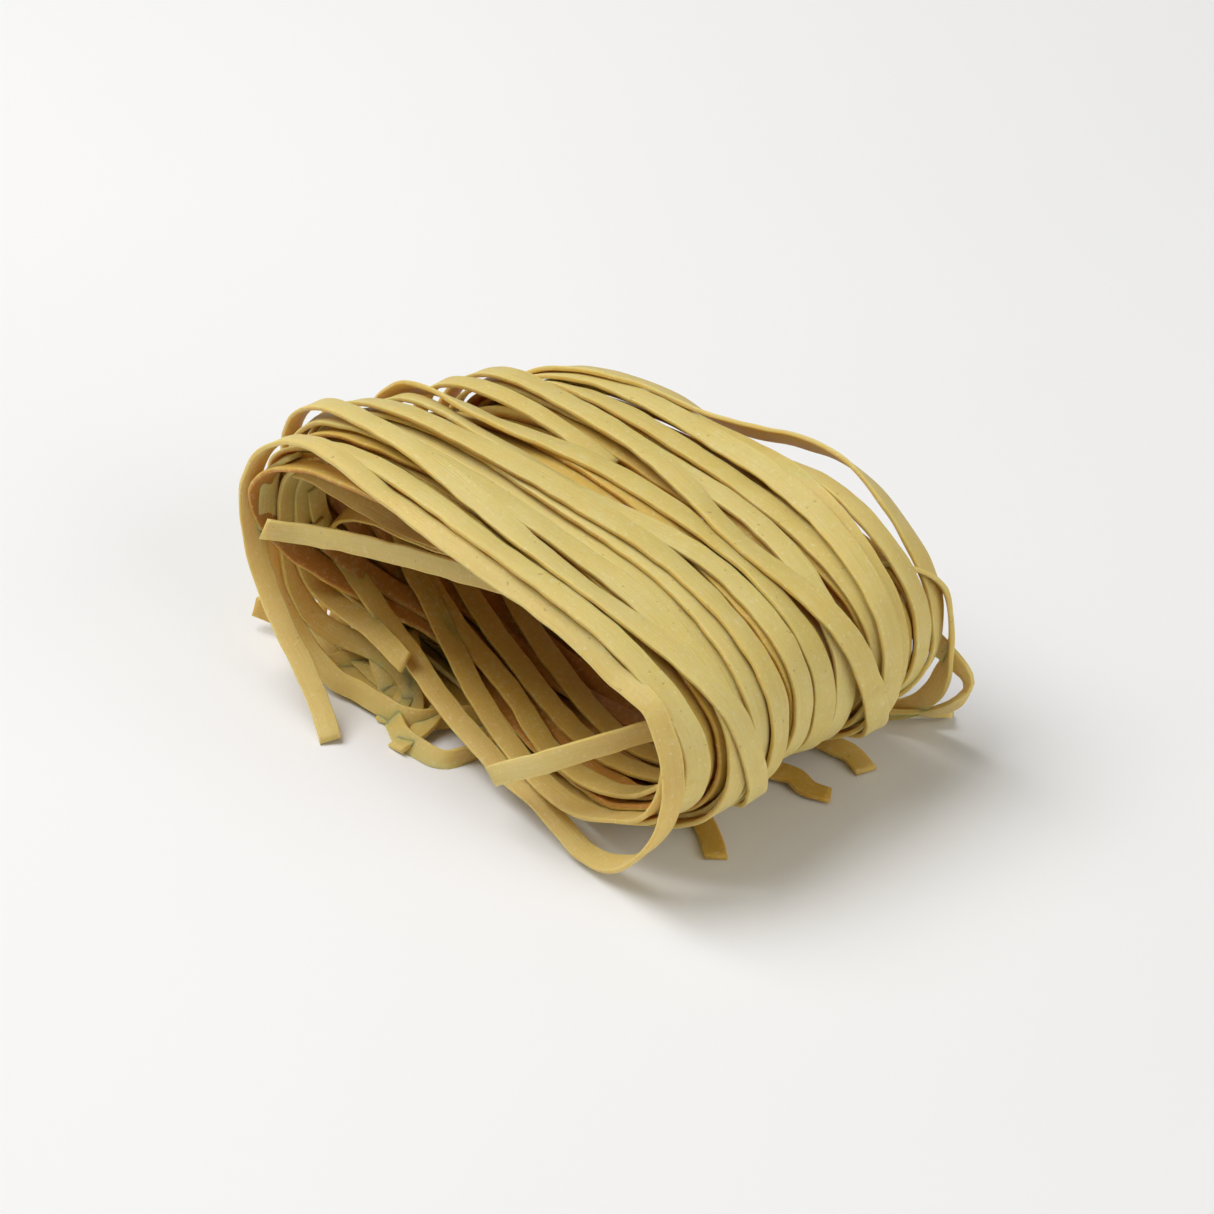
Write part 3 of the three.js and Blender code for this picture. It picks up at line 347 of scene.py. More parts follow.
def section_point(section, angle):
    """A point of the section and the outward normal there, before the tilt."""
    cosine, sine = math.cos(angle), math.sin(angle)
    if sine >= 0:
        power = section["right_shoulder" if cosine >= 0 else "left_shoulder"]
        half_height = section["rise"]
    else:
        power = BOTTOM_RIGHT if cosine >= 0 else BOTTOM_LEFT
        half_height = section["drop"]
    x = section["half_length"] * math.copysign(abs(cosine) ** (2 / power), cosine)
    z = half_height * math.copysign(abs(sine) ** (2 / power), sine)
    nx = math.copysign(abs(x / section["half_length"]) ** (power - 1), cosine) / section["half_length"]
    nz = math.copysign(abs(z / half_height) ** (power - 1), sine) / half_height
    length = math.hypot(nx, nz)
    return x, z, nx / length, nz / length


def space_columns():
    """Angles of the columns, evenly spaced along the middle section, and the length of that loop."""
    section = section_at(0)
    turns = (2 * math.pi * i / SECTION_SAMPLES for i in range(SECTION_SAMPLES + 1))
    points = [section_point(section, angle)[:2] for angle in turns]
    run = [0.0]
    for a, b in zip(points, points[1:]):
        run.append(run[-1] + math.dist(a, b))
    angles = []
    j = 0
    for k in range(COLUMNS):
        wanted = run[-1] * k / COLUMNS
        while run[j + 1] < wanted:
            j += 1
        share = (wanted - run[j]) / (run[j + 1] - run[j])
        angles.append(2 * math.pi * (j + share) / SECTION_SAMPLES)
    return angles, run[-1]


COLUMN_ANGLES, LOOP_LENGTH = space_columns()
COLUMN_STEP = LOOP_LENGTH / COLUMNS
CREST_COLUMN = next(k for k, angle in enumerate(COLUMN_ANGLES) if angle >= math.pi / 2)


def point_over(column, y, height):
    """The point at a height over the tunnel's surface."""
    section = section_at(y)
    angle = COLUMN_ANGLES[column % COLUMNS]
    tilt = math.radians(section["tilt"]) * (1 + math.sin(angle)) / 2
    x, z, nx, nz = section_point(section, angle)
    x += nx * height
    z += nz * height
    return np.array([
        section["x"] + x * math.cos(tilt) + z * math.sin(tilt),
        y,
        section["z"] - x * math.sin(tilt) + z * math.cos(tilt),
    ])


def pull_back(distance, y):
    """How far a turn at y is set back at a distance past the crest (counted toward the right end)."""
    over_left = LOOP_LENGTH - distance % LOOP_LENGTH
    share = 0.0
    if PULL_FROM < over_left < PULL_FULL:
        share = smooth_step((over_left - PULL_FROM) / (PULL_FULL - PULL_FROM))
    elif PULL_FULL <= over_left < PULL_TO:
        share = (PULL_TO - over_left) / (PULL_TO - PULL_FULL)
    return PULL_MOST * share * clamp((PULL_NEAR_Y - y) / PULL_SPAN_Y, 0.0, 1.0)


def draw_in(distance, y):
    """How far an inner turn near the back rim is set forward at a distance past the crest."""
    share = smooth_step(1 - abs(distance - DRAWN_IN_AT) / DRAWN_IN_REACH)
    return DRAWN_IN_MOST * share * clamp((y - DRAWN_IN_NEAR_Y) / DRAWN_IN_SPAN_Y, 0.0, 1.0)


# ------------------------------------------------------------------ laying strands
heights = np.zeros((COLUMNS, ROWS))


def smooth_list(values, sigma, closed):
    """Gaussian smoothing of a list, closed round or held at its ends."""
    reach = int(3 * sigma + 1)
    weights = np.exp(-0.5 * (np.arange(-reach, reach + 1) / sigma) ** 2)
    padded = np.pad(values, reach, mode="wrap" if closed else "edge")
    return np.convolve(padded, weights / weights.sum(), "valid")


def stiff_over(support, closed):
    """A ribbon bridges hollows and bends smoothly over what is under it."""
    height = smooth_list(support, STIFF_FIRST, closed)
    for _ in range(STIFF_PASSES):
        height = np.maximum(smooth_list(height, STIFF_PASS, closed), support)
    return smooth_list(height, STIFF_LAST, closed)


def row_of(y):
    return int((y + ROW_REACH) / ROW_SIZE)


def lift_at(column, raised):
    """How far a raised stretch stands off at a column, at its front and at its back edge."""
    at, reach, front, back = raised
    half = LOOP_LENGTH / 2
    distance = ((CREST_COLUMN - column) * COLUMN_STEP - at + half) % LOOP_LENGTH - half
    share = smooth_step(1 - abs(distance) / reach)
    return front * share, back * share


def directions(points, closed):
    if closed:
        return unit(np.roll(points, -1, 0) - np.roll(points, 1, 0))
    return unit(np.gradient(points, axis=0))


def square_up(points, across, closed):
    """Turns each width square to the strand's direction."""
    along = directions(points, closed)
    return unit(across - along * (across * along).sum(1)[:, None])


def strand_of(points, across, closed, width):
    return dict(points=points, across=square_up(points, across, closed), closed=closed, width=width)


def lay_strand(first, course, closed, width, raised=NOT_RAISED):
    """Lays a ribbon over what is already there. course[i] is its y at column first + i."""
    course = np.asarray(course, float)
    if closed:
        slope = (np.roll(course, -1) - np.roll(course, 1)) / (2 * COLUMN_STEP)
    else:
        slope = np.gradient(course) / COLUMN_STEP
    reaches = 0.5 * width * np.sqrt(1 + slope ** 2)
    count = len(course)
    left = np.zeros(count)
    right = np.zeros(count)
    for i in range(count):
        column = heights[(first + i) % COLUMNS]
        low = clamp(row_of(course[i] - reaches[i]), 0, ROWS - 2)
        high = clamp(row_of(course[i] + reaches[i]), 1, ROWS - 1)
        middle = clamp(row_of(course[i]), low, high)
        left[i] = column[low:middle + 1].max()
        right[i] = column[middle:high + 1].max()
    lifts = np.array([lift_at(first + i, raised) for i in range(count)])
    left = stiff_over(left, closed) + lifts[:, 0]
    right = stiff_over(right, closed) + lifts[:, 1]
    points = []
    across = []
    for i in range(count):
        low = max(0, row_of(course[i] - reaches[i]))
        high = min(ROWS - 1, row_of(course[i] + reaches[i]))
        ys = (np.arange(low, high + 1) + 0.5) * ROW_SIZE - ROW_REACH
        t = np.clip((ys - course[i] + reaches[i]) / (2 * reaches[i]), 0, 1)
        column = heights[(first + i) % COLUMNS]
        top = lerp(left[i], right[i], t) + LAYER_STEP
        column[low:high + 1] = np.maximum(column[low:high + 1], top)
        a = point_over(first + i, course[i] - reaches[i], left[i] + LAYER_STEP / 2)
        b = point_over(first + i, course[i] + reaches[i], right[i] + LAYER_STEP / 2)
        points.append((a + b) / 2)
        across.append(b - a)
    return strand_of(np.array(points), np.array(across), closed, width)


def course_through(stations):
    """The y of a closed turn at each column, through (distance past the crest, y) stations."""
    ordered = sorted((s % LOOP_LENGTH, y) for s, y in stations)
    s = np.array([pair[0] for pair in ordered])
    y = np.array([pair[1] for pair in ordered], float)
    s = np.concatenate([s[-3:] - LOOP_LENGTH, s, s[:3] + LOOP_LENGTH])
    y = np.concatenate([y[-3:], y, y[:3]])
    gap = np.diff(s)
    rise = np.diff(y) / gap
    slope = np.zeros(len(s))
    slope[1:-1] = (rise[1:] * gap[:-1] + rise[:-1] * gap[1:]) / (gap[:-1] + gap[1:])
    wanted = ((CREST_COLUMN - np.arange(COLUMNS)) * COLUMN_STEP) % LOOP_LENGTH
    k = np.searchsorted(s, wanted, "right") - 1
    t = (wanted - s[k]) / gap[k]
    return (
        (2 * t ** 3 - 3 * t ** 2 + 1) * y[k] + (t ** 3 - 2 * t ** 2 + t) * gap[k] * slope[k]
        + (3 * t ** 2 - 2 * t ** 3) * y[k + 1] + (t ** 3 - t ** 2) * gap[k] * slope[k + 1]
    )


def lay_inner_turns():
    order = list(range(INNER_TURNS))
    for i in range(INNER_TURNS - 1, 0, -1):
        j = int(draw() * (i + 1))
        order[i], order[j] = order[j], order[i]
    turns = []
    for place in order:
        base = INNER_FIRST + INNER_SPREAD * (place + 0.5) / INNER_TURNS
        sizes = [wave * (2 * INNER_WAVE_SPREAD * draw() - INNER_WAVE_SPREAD) for wave in INNER_WAVES]
        phases = [draw() * 2 * math.pi for _ in INNER_WAVES]
        course = []
        for column in range(COLUMNS):
            turn = column / COLUMNS * 2 * math.pi
            waves = enumerate(zip(sizes, phases))
            y = base + sum(size * math.sin((wave + 1) * turn + phase) for wave, (size, phase) in waves)
            y = clamp(y, FRONT_EDGE, BACK_EDGE)
            distance = (CREST_COLUMN - column) * COLUMN_STEP
            course.append(y + pull_back(distance, y) - draw_in(distance, y))
        width = RIBBON_WIDTH * (INNER_WIDTH_LEAST + INNER_WIDTH_SPREAD * draw())
        turns.append(lay_strand(0, course, True, width))
    return turns


def lay_outer_turn(ys, raised):
    stations = list(zip(STATIONS, ys))
    hidden = LOOP_LENGTH - (STATIONS[-1] - STATIONS[0])
    for j in range(1, HIDDEN_STATIONS + 1):
        t = j / (HIDDEN_STATIONS + 1)
        s = STATIONS[-1] + hidden * t
        y = lerp(ys[-1], ys[0], t) + (draw() - 0.5) * HIDDEN_WANDER
        y = clamp(y, HIDDEN_FRONT_EDGE, BACK_EDGE)
        stations.append((s, y + pull_back(s, y)))
    width = RIBBON_WIDTH * (OUTER_WIDTH_LEAST + OUTER_WIDTH_SPREAD * draw())
    return lay_strand(0, course_through(stations), True, width, raised)


# ------------------------------------------------------------------ loose strands
def curve_through(points):
    """A smooth curve through points, and for each sample how many points it has passed."""
    given = [np.array(p, float) for p in points]
    every = [2 * given[0] - given[1]] + given + [2 * given[-1] - given[-2]]
    samples = []
    passed = []
    for i in range(1, len(every) - 2):
        p0, p1, p2, p3 = every[i - 1:i + 3]
        d1, d2, d3 = (math.sqrt(np.linalg.norm(b - a)) for a, b in ((p0, p1), (p1, p2), (p2, p3)))
        m1 = d2 * ((p1 - p0) / d1 - (p2 - p0) / (d1 + d2) + (p2 - p1) / d2)
        m2 = d2 * ((p2 - p1) / d2 - (p3 - p1) / (d2 + d3) + (p3 - p2) / d3)
        count = max(1, int(np.linalg.norm(p2 - p1) / CURVE_SPACING + 0.5))
        for k in range(count):
            t = k / count
            samples.append(
                (2 * t ** 3 - 3 * t ** 2 + 1) * p1 + (t ** 3 - 2 * t ** 2 + t) * m1
                + (3 * t ** 2 - 2 * t ** 3) * p2 + (t ** 3 - t ** 2) * m2
            )
            passed.append(i - 1 + t)
    samples.append(given[-1])
    passed.append(len(points) - 1.0)
    return np.array(samples), np.array(passed)


def loose_strand(through, widths):
    points, passed = curve_through(through)
    ways = np.array(widths, float)
    at = passed / (len(through) - 1) * (len(ways) - 1)
    k = np.minimum(at.astype(int), len(ways) - 2)
    across = lerp(ways[k], ways[k + 1], (at - k)[:, None])
    return strand_of(points, across, False, LOOSE_WIDTH)


def lay_rim_strand():
    whole = course_through(RIM_COURSE)
    first = round(CREST_COLUMN - RIM_LAID_TO / COLUMN_STEP)
    count = int((RIM_LAID_TO - RIM_LAID_FROM) / COLUMN_STEP) + 1
    course = [whole[(first + i) % COLUMNS] for i in range(count)]
    laid = lay_strand(first, course, False, LOOSE_WIDTH)
    top, width = laid["points"][::-1], -laid["across"][::-1]
    head, passed = curve_through(RIM_HANGING_END + [top[0], top[RIM_JOIN_COLUMNS]])
    kept = passed < len(RIM_HANGING_END)
    head, share = head[kept], passed[kept, None] / len(RIM_HANGING_END)
    head_width = lerp(np.array(RIM_END_ACROSS), width[0], share)
    tail, passed = curve_through([top[-1 - RIM_JOIN_COLUMNS], top[-1]] + RIM_SLACK_LOOP)
    kept = passed > 1
    tail, share = tail[kept], (passed[kept, None] - 1) / len(RIM_SLACK_LOOP)
    tail_width = lerp(width[-1], np.array(RIM_LOOP_ACROSS), share)
    points = np.concatenate([head, top, tail])
    return strand_of(points, np.concatenate([head_width, width, tail_width]), False, LOOSE_WIDTH)


# ------------------------------------------------------------------ ribbon meshes
RING_STEP = 0.8
FEWEST_RINGS = 6
CORNER_RADIUS = 0.14
CORNER_POINTS = 3

# A ribbon's small unevenness: how much, and how long a bump is in mm. Twist is in radians, sway and
# hollow in mm, the rest as a share of the ribbon's size.
TWIST, TWIST_LENGTH = 0.07, 14
SWAY, SWAY_LENGTH = 0.07, 9
WIDER, WIDER_LENGTH = 0.035, 7
THICKER, THICKER_LENGTH = 0.06, 11
HOLLOW, HOLLOW_MORE, HOLLOW_LENGTH = 0.05, 0.04, 20
UNDERSIDE_HOLLOW = 0.5
CUT_SLANT = 0.9
# Each of these is a sum of waves: how many, the shortest as a share of the bump's length and how much
# longer each next one is, the least size of one, how fast the longer ones fade, and about what the sum
# comes to.
WAVES = 4
WAVE_SHORTEST = 0.6
WAVE_LONGER = 0.5
WAVE_LEAST = 0.4
WAVE_FADE = 0.4
WAVES_TOGETHER = 2.2

# Painted shade, by how deep in the nest ribbons lie: the turns by their layer, with more on the face toward
# the tunnel, and loose strands by how far they are inside the mouths' y and under the top's z.
OUTER_PAINTED_SHADE = 0.0
INNER_PAINTED_SHADE = 0.6
INNER_FACE_PAINTED_SHADE = 0.45
LOOSE_PAINTED_SHADE = 0.75
MOUTH_Y, MOUTH_SPAN = 27, 16
UNDER_TOP_Z, UNDER_TOP_SPAN = 30, 10

# The streaks start elsewhere on every ribbon, so they are set this far apart.
STREAK_SHIFT = 400.0
STREAK_SHIFT_BY_SEED = 37.0


def ribbon_outline():
    """Points round a ribbon's section: the side and face each belongs to, and its offset in the corner."""
    outline = []
    for quarter, (side, face) in enumerate(((1, 1), (-1, 1), (-1, -1), (1, -1))):
        for k in range(CORNER_POINTS):
            angle = math.pi / 2 * (quarter + k / (CORNER_POINTS - 1))
            outline.append((side, face, math.cos(angle) * CORNER_RADIUS, math.sin(angle) * CORNER_RADIUS))
        # a middle point on each broad face carries the ribbon's slight hollow
        if quarter in (0, 2):
            outline.append((0, face, 0.0, face * CORNER_RADIUS))
    return outline


OUTLINE = ribbon_outline()


def resample(strand):
    """The strand at even steps."""
    points, across = strand["points"], strand["across"]
    if strand["closed"]:
        points = np.concatenate([points, points[:1]])
        across = np.concatenate([across, across[:1]])
    run = np.concatenate([[0.0], np.cumsum(np.linalg.norm(np.diff(points, axis=0), axis=1))])
    count = max(FEWEST_RINGS, round(run[-1] / RING_STEP))
    at = np.linspace(0, run[-1], count, endpoint=not strand["closed"])
    new_points = np.stack([np.interp(at, run, points[:, axis]) for axis in range(3)], 1)
    new_across = np.stack([np.interp(at, run, across[:, axis]) for axis in range(3)], 1)
    return new_points, square_up(new_points, new_across, strand["closed"]), at


def wandering(count, length, chance, closed):
    """A slow random wave along a strand, about -1 to 1, with bumps about `length` mm long."""
    size = count * RING_STEP
    total = np.zeros(count)
    at = np.arange(count) * RING_STEP
    for k in range(WAVES):
        cycles = size / (length * (WAVE_SHORTEST + WAVE_LONGER * k))
        cycles = max(1, round(cycles)) if closed else cycles
        wave_size = (WAVE_LEAST + chance()) / (1 + WAVE_FADE * k)
        total += wave_size * np.sin(2 * math.pi * (cycles * at / size + chance()))
    return total / WAVES_TOGETHER


def ribbon_rings(strand, chance):
    """Rings of vertices along a ribbon, with its small unevenness, and how far along each ring is."""
    points, across, at = resample(strand)
    closed = strand["closed"]
    count = len(points)
    along = directions(points, closed)
    out = np.cross(across, along)

    def wave(length):
        return wandering(count, length, chance, closed)

    twist = TWIST * wave(TWIST_LENGTH)[:, None]
    across = across * np.cos(twist) + out * np.sin(twist)
    out = np.cross(across, along)
    points = points + SWAY * wave(SWAY_LENGTH)[:, None] * across
    half_width = strand["width"] / 2 * (1 + WIDER * wave(WIDER_LENGTH))
    half_height = RIBBON_THICKNESS / 2 * (1 + THICKER * wave(THICKER_LENGTH))
    hollow = HOLLOW + HOLLOW_MORE * wave(HOLLOW_LENGTH)
    rings = np.zeros((count, len(OUTLINE), 3))
    for k, (side, face, du, dv) in enumerate(OUTLINE):
        u = side * (half_width - CORNER_RADIUS) + du
        v = face * (half_height - CORNER_RADIUS) + dv
        if side == 0:
            v = v - hollow * face * (1 if face > 0 else UNDERSIDE_HOLLOW)
        rings[:, k] = points + across * u[:, None] + out * v[:, None]
    if not closed:
        # the cut ends are a little slanted
        for ring, sign in ((0, 1), (-1, -1)):
            slant = (chance() - 0.5) * CUT_SLANT
            for k, (side, _, _, _) in enumerate(OUTLINE):
                rings[ring, k] += along[ring] * side * slant * sign
    return rings, at


def painted_shade_at(rings, layer_shade):
    """The painted shade at each point, by how deep in the nest it lies: by its layer and face, or by its
    place for loose strands.
    """
    if layer_shade is None:
        inward = np.clip((MOUTH_Y - np.abs(rings[..., 1])) / MOUTH_SPAN, 0, 1)
        low = np.clip((UNDER_TOP_Z - rings[..., 2]) / UNDER_TOP_SPAN, 0, 1)
        return LOOSE_PAINTED_SHADE * inward * low
    faces = np.array([face for _, face, _, _ in OUTLINE])
    return np.broadcast_to(layer_shade + np.where(faces > 0, 0.0, INNER_FACE_PAINTED_SHADE), rings.shape[:2])


def settle(rings):
    """Nothing reaches under the floor."""
    rings[..., 2] = np.maximum(rings[..., 2], 0.0)
    return rings


def ribbon_faces(count, closed, start):
    """The faces between a ribbon's rings, and over its two cut ends."""
    around = len(OUTLINE)
    ring = np.arange(count if closed else count - 1)
    after = (ring + 1) % count
    faces = []
    for k in range(around):
        n = (k + 1) % around
        quads = [ring * around + k, after * around + k, after * around + n, ring * around + n]
        faces.extend((np.stack(quads, 1) + start).tolist())
    if not closed:
        faces.append([start + k for k in range(around)])
        faces.append([start + (count - 1) * around + k for k in reversed(range(around))])
    return faces


def ribbons_object(name, strands, layer_shade, seed):
    """One mesh of many ribbons, with each point's place along and across its ribbon, its painted shade by how
    deep it lies, and its tone.
    """
    chance = random_draws(seed).__next__
    for _ in range(SKIPPED_DRAWS):
        chance()
    places, faces, along, across, painted_shade, tone = [], [], [], [], [], []
    around = len(OUTLINE)
    start = 0
    for number, strand in enumerate(strands):
        rings, at = ribbon_rings(strand, chance)
        # painted shade: how deep in the nest each point lies, which later darkens its colour
        painted_shade.append(painted_shade_at(rings, layer_shade).reshape(-1))
        rings = settle(rings + ORIGIN_SHIFT)
        count = len(rings)
        places.append(rings.reshape(-1, 3))
        along.append(np.repeat(at + STREAK_SHIFT * number + STREAK_SHIFT_BY_SEED * seed, around))
        across.append(np.tile([side + du / RIBBON_WIDTH for side, _, du, _ in OUTLINE], count))
        tone.append(np.full(count * around, chance()))
        faces.extend(ribbon_faces(count, strand["closed"], start))
        start += count * around
    mesh = bpy.data.meshes.new(name)
    mesh.from_pydata((np.concatenate(places) * MM).tolist(), [], faces)
    mesh.polygons.foreach_set("use_smooth", [True] * len(mesh.polygons))
    for key, values in (("along", along), ("across", across), ("painted_shade", painted_shade), ("tone", tone)):
        attribute = mesh.attributes.new(key, "FLOAT", "POINT")
        attribute.data.foreach_set("value", np.concatenate(values).astype(np.float32))
    mesh.validate()
    mesh.update()
    piece = bpy.data.objects.new(name, mesh)
    bpy.context.scene.collection.objects.link(piece)
    return piece


# ------------------------------------------------------------------ materials
# The two yellows between which the ribbons differ, and the tints over them. Amber is painted shade that comes
# in deeper in the nest, and red-brown is deeper painted shade on the tunnel's wall.
DEEP_YELLOW = (0.66, 0.505, 0.15, 1)
YELLOW = (0.72, 0.57, 0.205, 1)
CLOUD = (0.72, 0.60, 0.25, 1)
STREAK = (0.52, 0.37, 0.085, 1)
PAINTED_SHADE_AMBER = (0.56, 0.33, 0.035, 1)
PAINTED_SHADE_RED_BROWN = (0.40, 0.14, 0.022, 1)
SANDY = (0.78, 0.69, 0.40, 1)
PALE_SPECK = (0.90, 0.84, 0.62, 1)
DARK_SPECK = (0.36, 0.23, 0.07, 1)
FLOOR_GREY = (0.86, 0.86, 0.86, 1)
FLOOR_PALE_GREY = (0.88, 0.88, 0.88, 1)
STREAKS_PER_MM = 0.06
STREAKS_PER_HALF_WIDTH = 4.0
MOTTLE_RELIEF = 0.55
GRAIN_RELIEF = 0.3
STREAK_RELIEF = 0.7


class Nodes:
    """Short calls for building a node tree."""

    def __init__(self, name):
        self.material = bpy.data.materials.new(name)
        self.material.use_nodes = True
        self.tree = self.material.node_tree
        self.shader = self.tree.nodes["Principled BSDF"]

    def add(self, kind, **settings):
        node = self.tree.nodes.new(kind)
        for key, value in settings.items():
            if hasattr(node, key):
                setattr(node, key, value)
            else:
                node.inputs[key].default_value = value
        return node

    def link(self, source, target):
        self.tree.links.new(source, target)

    def value(self, source, socket):
        if isinstance(source, (int, float)):
            socket.default_value = source
        else:
            self.link(source, socket)

    def attribute(self, name):
        return self.add("ShaderNodeAttribute", attribute_name=name).outputs["Fac"]

    def math(self, operation, a, b):
        node = self.add("ShaderNodeMath", operation=operation)
        self.value(a, node.inputs[0])
        self.value(b, node.inputs[1])
        return node.outputs[0]

    def noise(self, vector, scale, detail, roughness):
        node = self.add("ShaderNodeTexNoise", Scale=scale, Detail=detail, Roughness=roughness)
        self.link(vector, node.inputs["Vector"])
        return node.outputs["Fac"]

    def spread(self, source, low, high, to_low, to_high):
        node = self.add("ShaderNodeMapRange")
        self.link(source, node.inputs[0])
        for socket, number in zip(node.inputs[1:5], (low, high, to_low, to_high)):
            socket.default_value = number
        return node.outputs[0]

    def mix(self, share, a, b):
        node = self.add("ShaderNodeMix", data_type="RGBA")
        self.link(share, node.inputs[0])
        # the colour sockets come after those for numbers and vectors
        for socket, colour in ((node.inputs[6], a), (node.inputs[7], b)):
            if isinstance(colour, tuple):
                socket.default_value = colour
            else:
                self.link(colour, socket)
        return node.outputs[2]

    def combine(self, x, y):
        node = self.add("ShaderNodeCombineXYZ")
        self.link(x, node.inputs[0])
        self.link(y, node.inputs[1])
        return node.outputs[0]


def pasta_material():
    nodes = Nodes("dry_pasta")
    shader = nodes.shader
    along = nodes.math("MULTIPLY", nodes.attribute("along"), STREAKS_PER_MM)
    across = nodes.math("MULTIPLY", nodes.attribute("across"), STREAKS_PER_HALF_WIDTH)
    # painted shade: the colour darkens toward amber and red-brown where the ribbons lie deep in the nest
    painted_shade = nodes.attribute("painted_shade")
    place = nodes.add("ShaderNodeTexCoord").outputs["Object"]

    # lengthwise streaks left by the die, long along the ribbon and narrow across it
    streaks = nodes.noise(nodes.combine(along, across), scale=1.6, detail=3.0, roughness=0.6)
    # cloudy patches, fine grain and specks; the scales are in cells per metre
    clouds = nodes.noise(place, scale=170.0, detail=3.0, roughness=0.55)
    mottle = nodes.noise(place, scale=1000.0, detail=4.0, roughness=0.7)
    grain = nodes.noise(place, scale=3200.0, detail=2.0, roughness=0.6)
    dark_specks = nodes.noise(place, scale=1300.0, detail=1.0, roughness=0.4)
    pale_specks = nodes.noise(place, scale=2100.0, detail=1.0, roughness=0.4)

    # each tint grows from nothing where its field is low to its greatest share where the field is high
    colour = nodes.mix(nodes.attribute("tone"), DEEP_YELLOW, YELLOW)
    for field, low, high, most, tint in (
        (clouds, 0.40, 0.68, 0.4, CLOUD),
        (streaks, 0.45, 0.75, 0.3, STREAK),
        # painted shade: amber deeper in the nest, red-brown deepest in the hollow
        (painted_shade, 0.0, 0.8, 0.85, PAINTED_SHADE_AMBER),
        (painted_shade, 0.72, 1.0, 0.7, PAINTED_SHADE_RED_BROWN),
        (mottle, 0.52, 0.72, 0.3, SANDY),
        (pale_specks, 0.66, 0.76, 0.22, PALE_SPECK),
        (dark_specks, 0.74, 0.78, 0.5, DARK_SPECK),
    ):
        colour = nodes.mix(nodes.spread(field, low, high, to_low=0.0, to_high=most), colour, tint)
    nodes.link(colour, shader.inputs["Base Color"])

    roughness = nodes.spread(mottle, 0.3, 0.7, to_low=0.40, to_high=0.62)
    nodes.link(roughness, shader.inputs["Roughness"])
    shader.inputs["Specular IOR Level"].default_value = 0.32
    shader.inputs["Subsurface Weight"].default_value = 0.6
    shader.inputs["Subsurface Radius"].default_value = (1.0, 0.55, 0.15)
    shader.inputs["Subsurface Scale"].default_value = 0.0016

    relief = nodes.math("MULTIPLY", mottle, MOTTLE_RELIEF)
    for field, share in ((grain, GRAIN_RELIEF), (streaks, STREAK_RELIEF)):
        relief = nodes.math("ADD", relief, nodes.math("MULTIPLY", field, share))
    bump = nodes.add("ShaderNodeBump", Strength=0.6, Distance=0.00018)
    nodes.link(relief, bump.inputs["Height"])
    nodes.link(bump.outputs[0], shader.inputs["Normal"])
    return nodes.material


def floor_material():
    nodes = Nodes("pale_floor")
    place = nodes.add("ShaderNodeTexCoord").outputs["Object"]
    clouds = nodes.noise(place, scale=6.0, detail=2.0, roughness=0.5)
    cloudy = nodes.spread(clouds, 0.3, 0.7, to_low=0.0, to_high=1.0)
    colour = nodes.mix(cloudy, FLOOR_GREY, FLOOR_PALE_GREY)
    nodes.link(colour, nodes.shader.inputs["Base Color"])
    nodes.shader.inputs["Roughness"].default_value = 0.85
    return nodes.material


# ------------------------------------------------------------------ the nest
inner_turns = lay_inner_turns()
outer_turns = []
for ys, raised in OUTER_TURNS:
    if len(outer_turns) == TURNS_UNDER_THE_RIM:
        rim_strand = lay_rim_strand()
    outer_turns.append(lay_outer_turn(ys, raised))
loose_ends = [rim_strand] + [loose_strand(through, widths) for through, widths in LOOSE_STRANDS]

pasta = pasta_material()
# the joined meshes, with the painted shade their ribbons get for how deep they lie, and the seed of their
# unevenness
for piece_name, strands, layer_shade, seed in (
    ("inner_ribbons", inner_turns, INNER_PAINTED_SHADE, 11),
    ("outer_ribbons", outer_turns, OUTER_PAINTED_SHADE, 23),
    ("loose_ribbons", loose_ends, None, 47),
):
    piece = ribbons_object(piece_name, strands, layer_shade, seed)
    piece.data.materials.append(pasta)
    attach(piece, "root")
    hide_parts("pasta_nest")

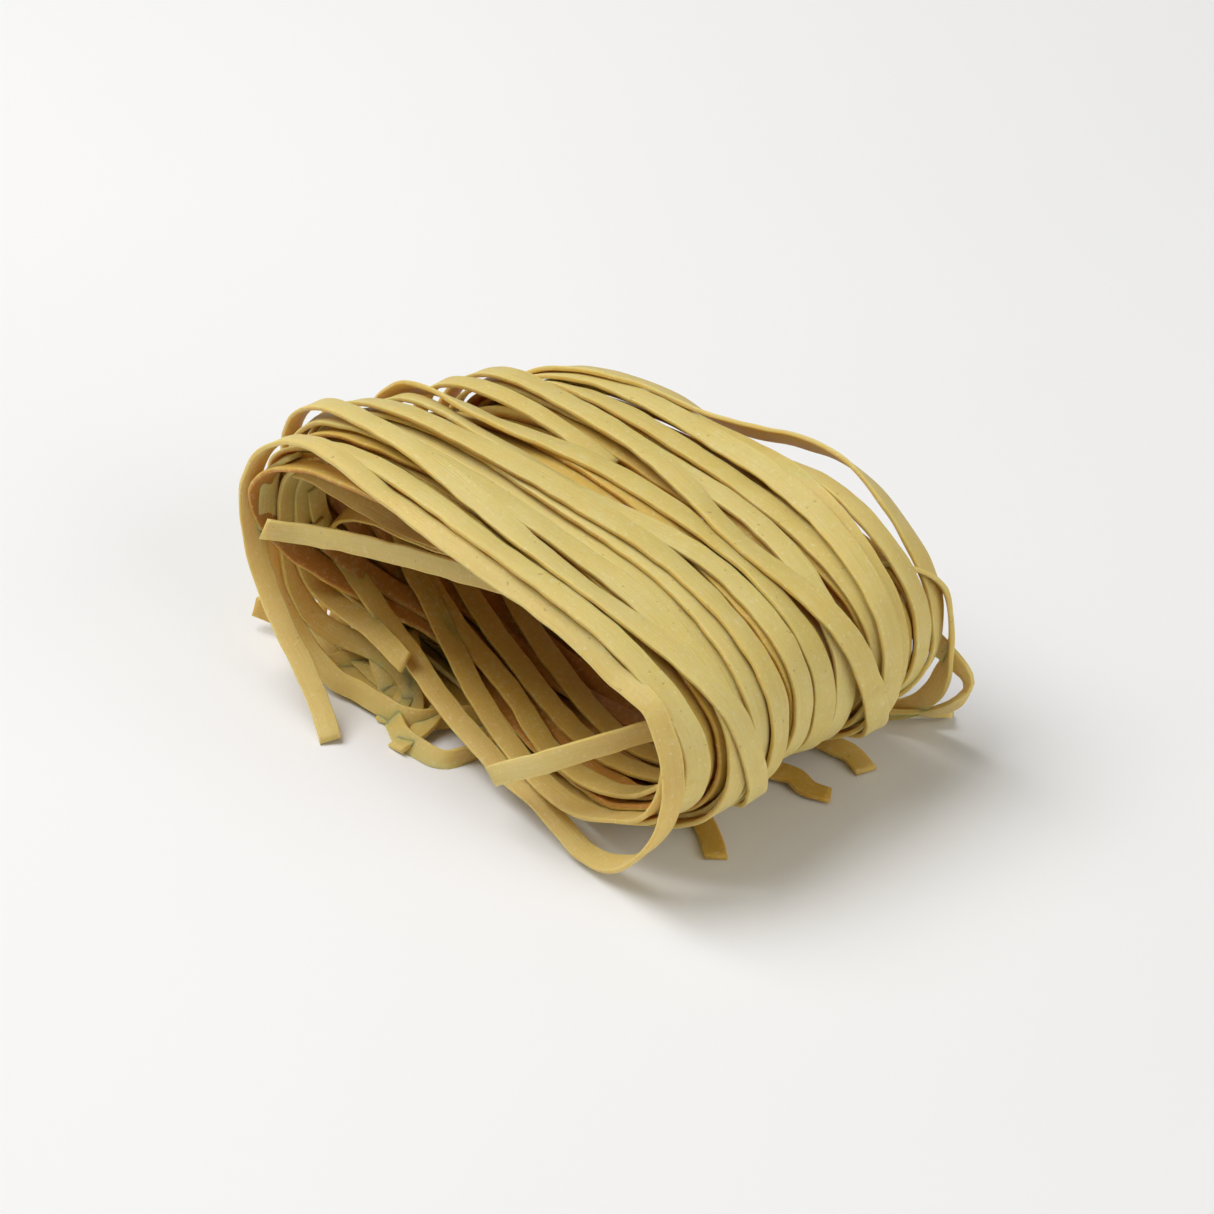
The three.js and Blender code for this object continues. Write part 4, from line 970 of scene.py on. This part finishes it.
# ------------------------------------------------------------------ floor, light and camera
FLOOR_HALF = 4.0
floor_mesh = bpy.data.meshes.new("floor")
floor_mesh.from_pydata(
    [(-FLOOR_HALF, -FLOOR_HALF, 0), (FLOOR_HALF, -FLOOR_HALF, 0), (FLOOR_HALF, FLOOR_HALF, 0),
     (-FLOOR_HALF, FLOOR_HALF, 0)],
    [],
    [(0, 1, 2, 3)],
)
floor_mesh.materials.append(floor_material())
floor = bpy.data.objects.new("floor", floor_mesh)
bpy.context.scene.collection.objects.link(floor)

# The camera: degrees, metres, and the lens and sensor in millimetres.
CAMERA_AZIMUTH = 46.0
CAMERA_ELEVATION = 33.0
CAMERA_DISTANCE = 0.650
CAMERA_LENS = 154.2
CAMERA_SENSOR = 36.0
AIM = Vector((0.00275, -0.00085, 0.016))
AIM_TO_THE_RIGHT = 0.001375

azimuth = math.radians(CAMERA_AZIMUTH)
elevation = math.radians(CAMERA_ELEVATION)
right = Vector((math.cos(azimuth), math.sin(azimuth), 0))
back = Vector((
    math.sin(azimuth) * math.cos(elevation), -math.cos(azimuth) * math.cos(elevation), math.sin(elevation),
))
camera_data = bpy.data.cameras.new("camera")
camera_data.lens = CAMERA_LENS
camera_data.sensor_width = CAMERA_SENSOR
camera = bpy.data.objects.new("camera", camera_data)
bpy.context.scene.collection.objects.link(camera)
camera.location = AIM + right * AIM_TO_THE_RIGHT + back * CAMERA_DISTANCE
camera.rotation_euler = (-back).to_track_quat("-Z", "Y").to_euler()
bpy.context.scene.camera = camera


# The lights: place and size in metres, power in watts.
LIGHTS_AIM = Vector((0, 0, 0.02))
for light_name, place, size, power in (
    ("key_light", (-0.42, -0.24, 0.85), 0.8, 9.5),
    ("fill_light", (0.98, 0.1, 0.45), 0.9, 4.4),
):
    light_data = bpy.data.lights.new(light_name, "AREA")
    light_data.energy = power
    light_data.size = size
    light = bpy.data.objects.new(light_name, light_data)
    light.location = place
    light.rotation_euler = (LIGHTS_AIM - Vector(place)).to_track_quat("-Z", "Y").to_euler()
    bpy.context.scene.collection.objects.link(light)

SKY_COLOUR = (1, 0.97, 0.92, 1)
SKY_STRENGTH = 0.2
world = bpy.data.worlds.new("studio")
bpy.context.scene.world = world
world.use_nodes = True
sky = world.node_tree.nodes["Background"]
sky.inputs["Color"].default_value = SKY_COLOUR
sky.inputs["Strength"].default_value = SKY_STRENGTH
bpy.context.scene.view_settings.view_transform = "Standard"
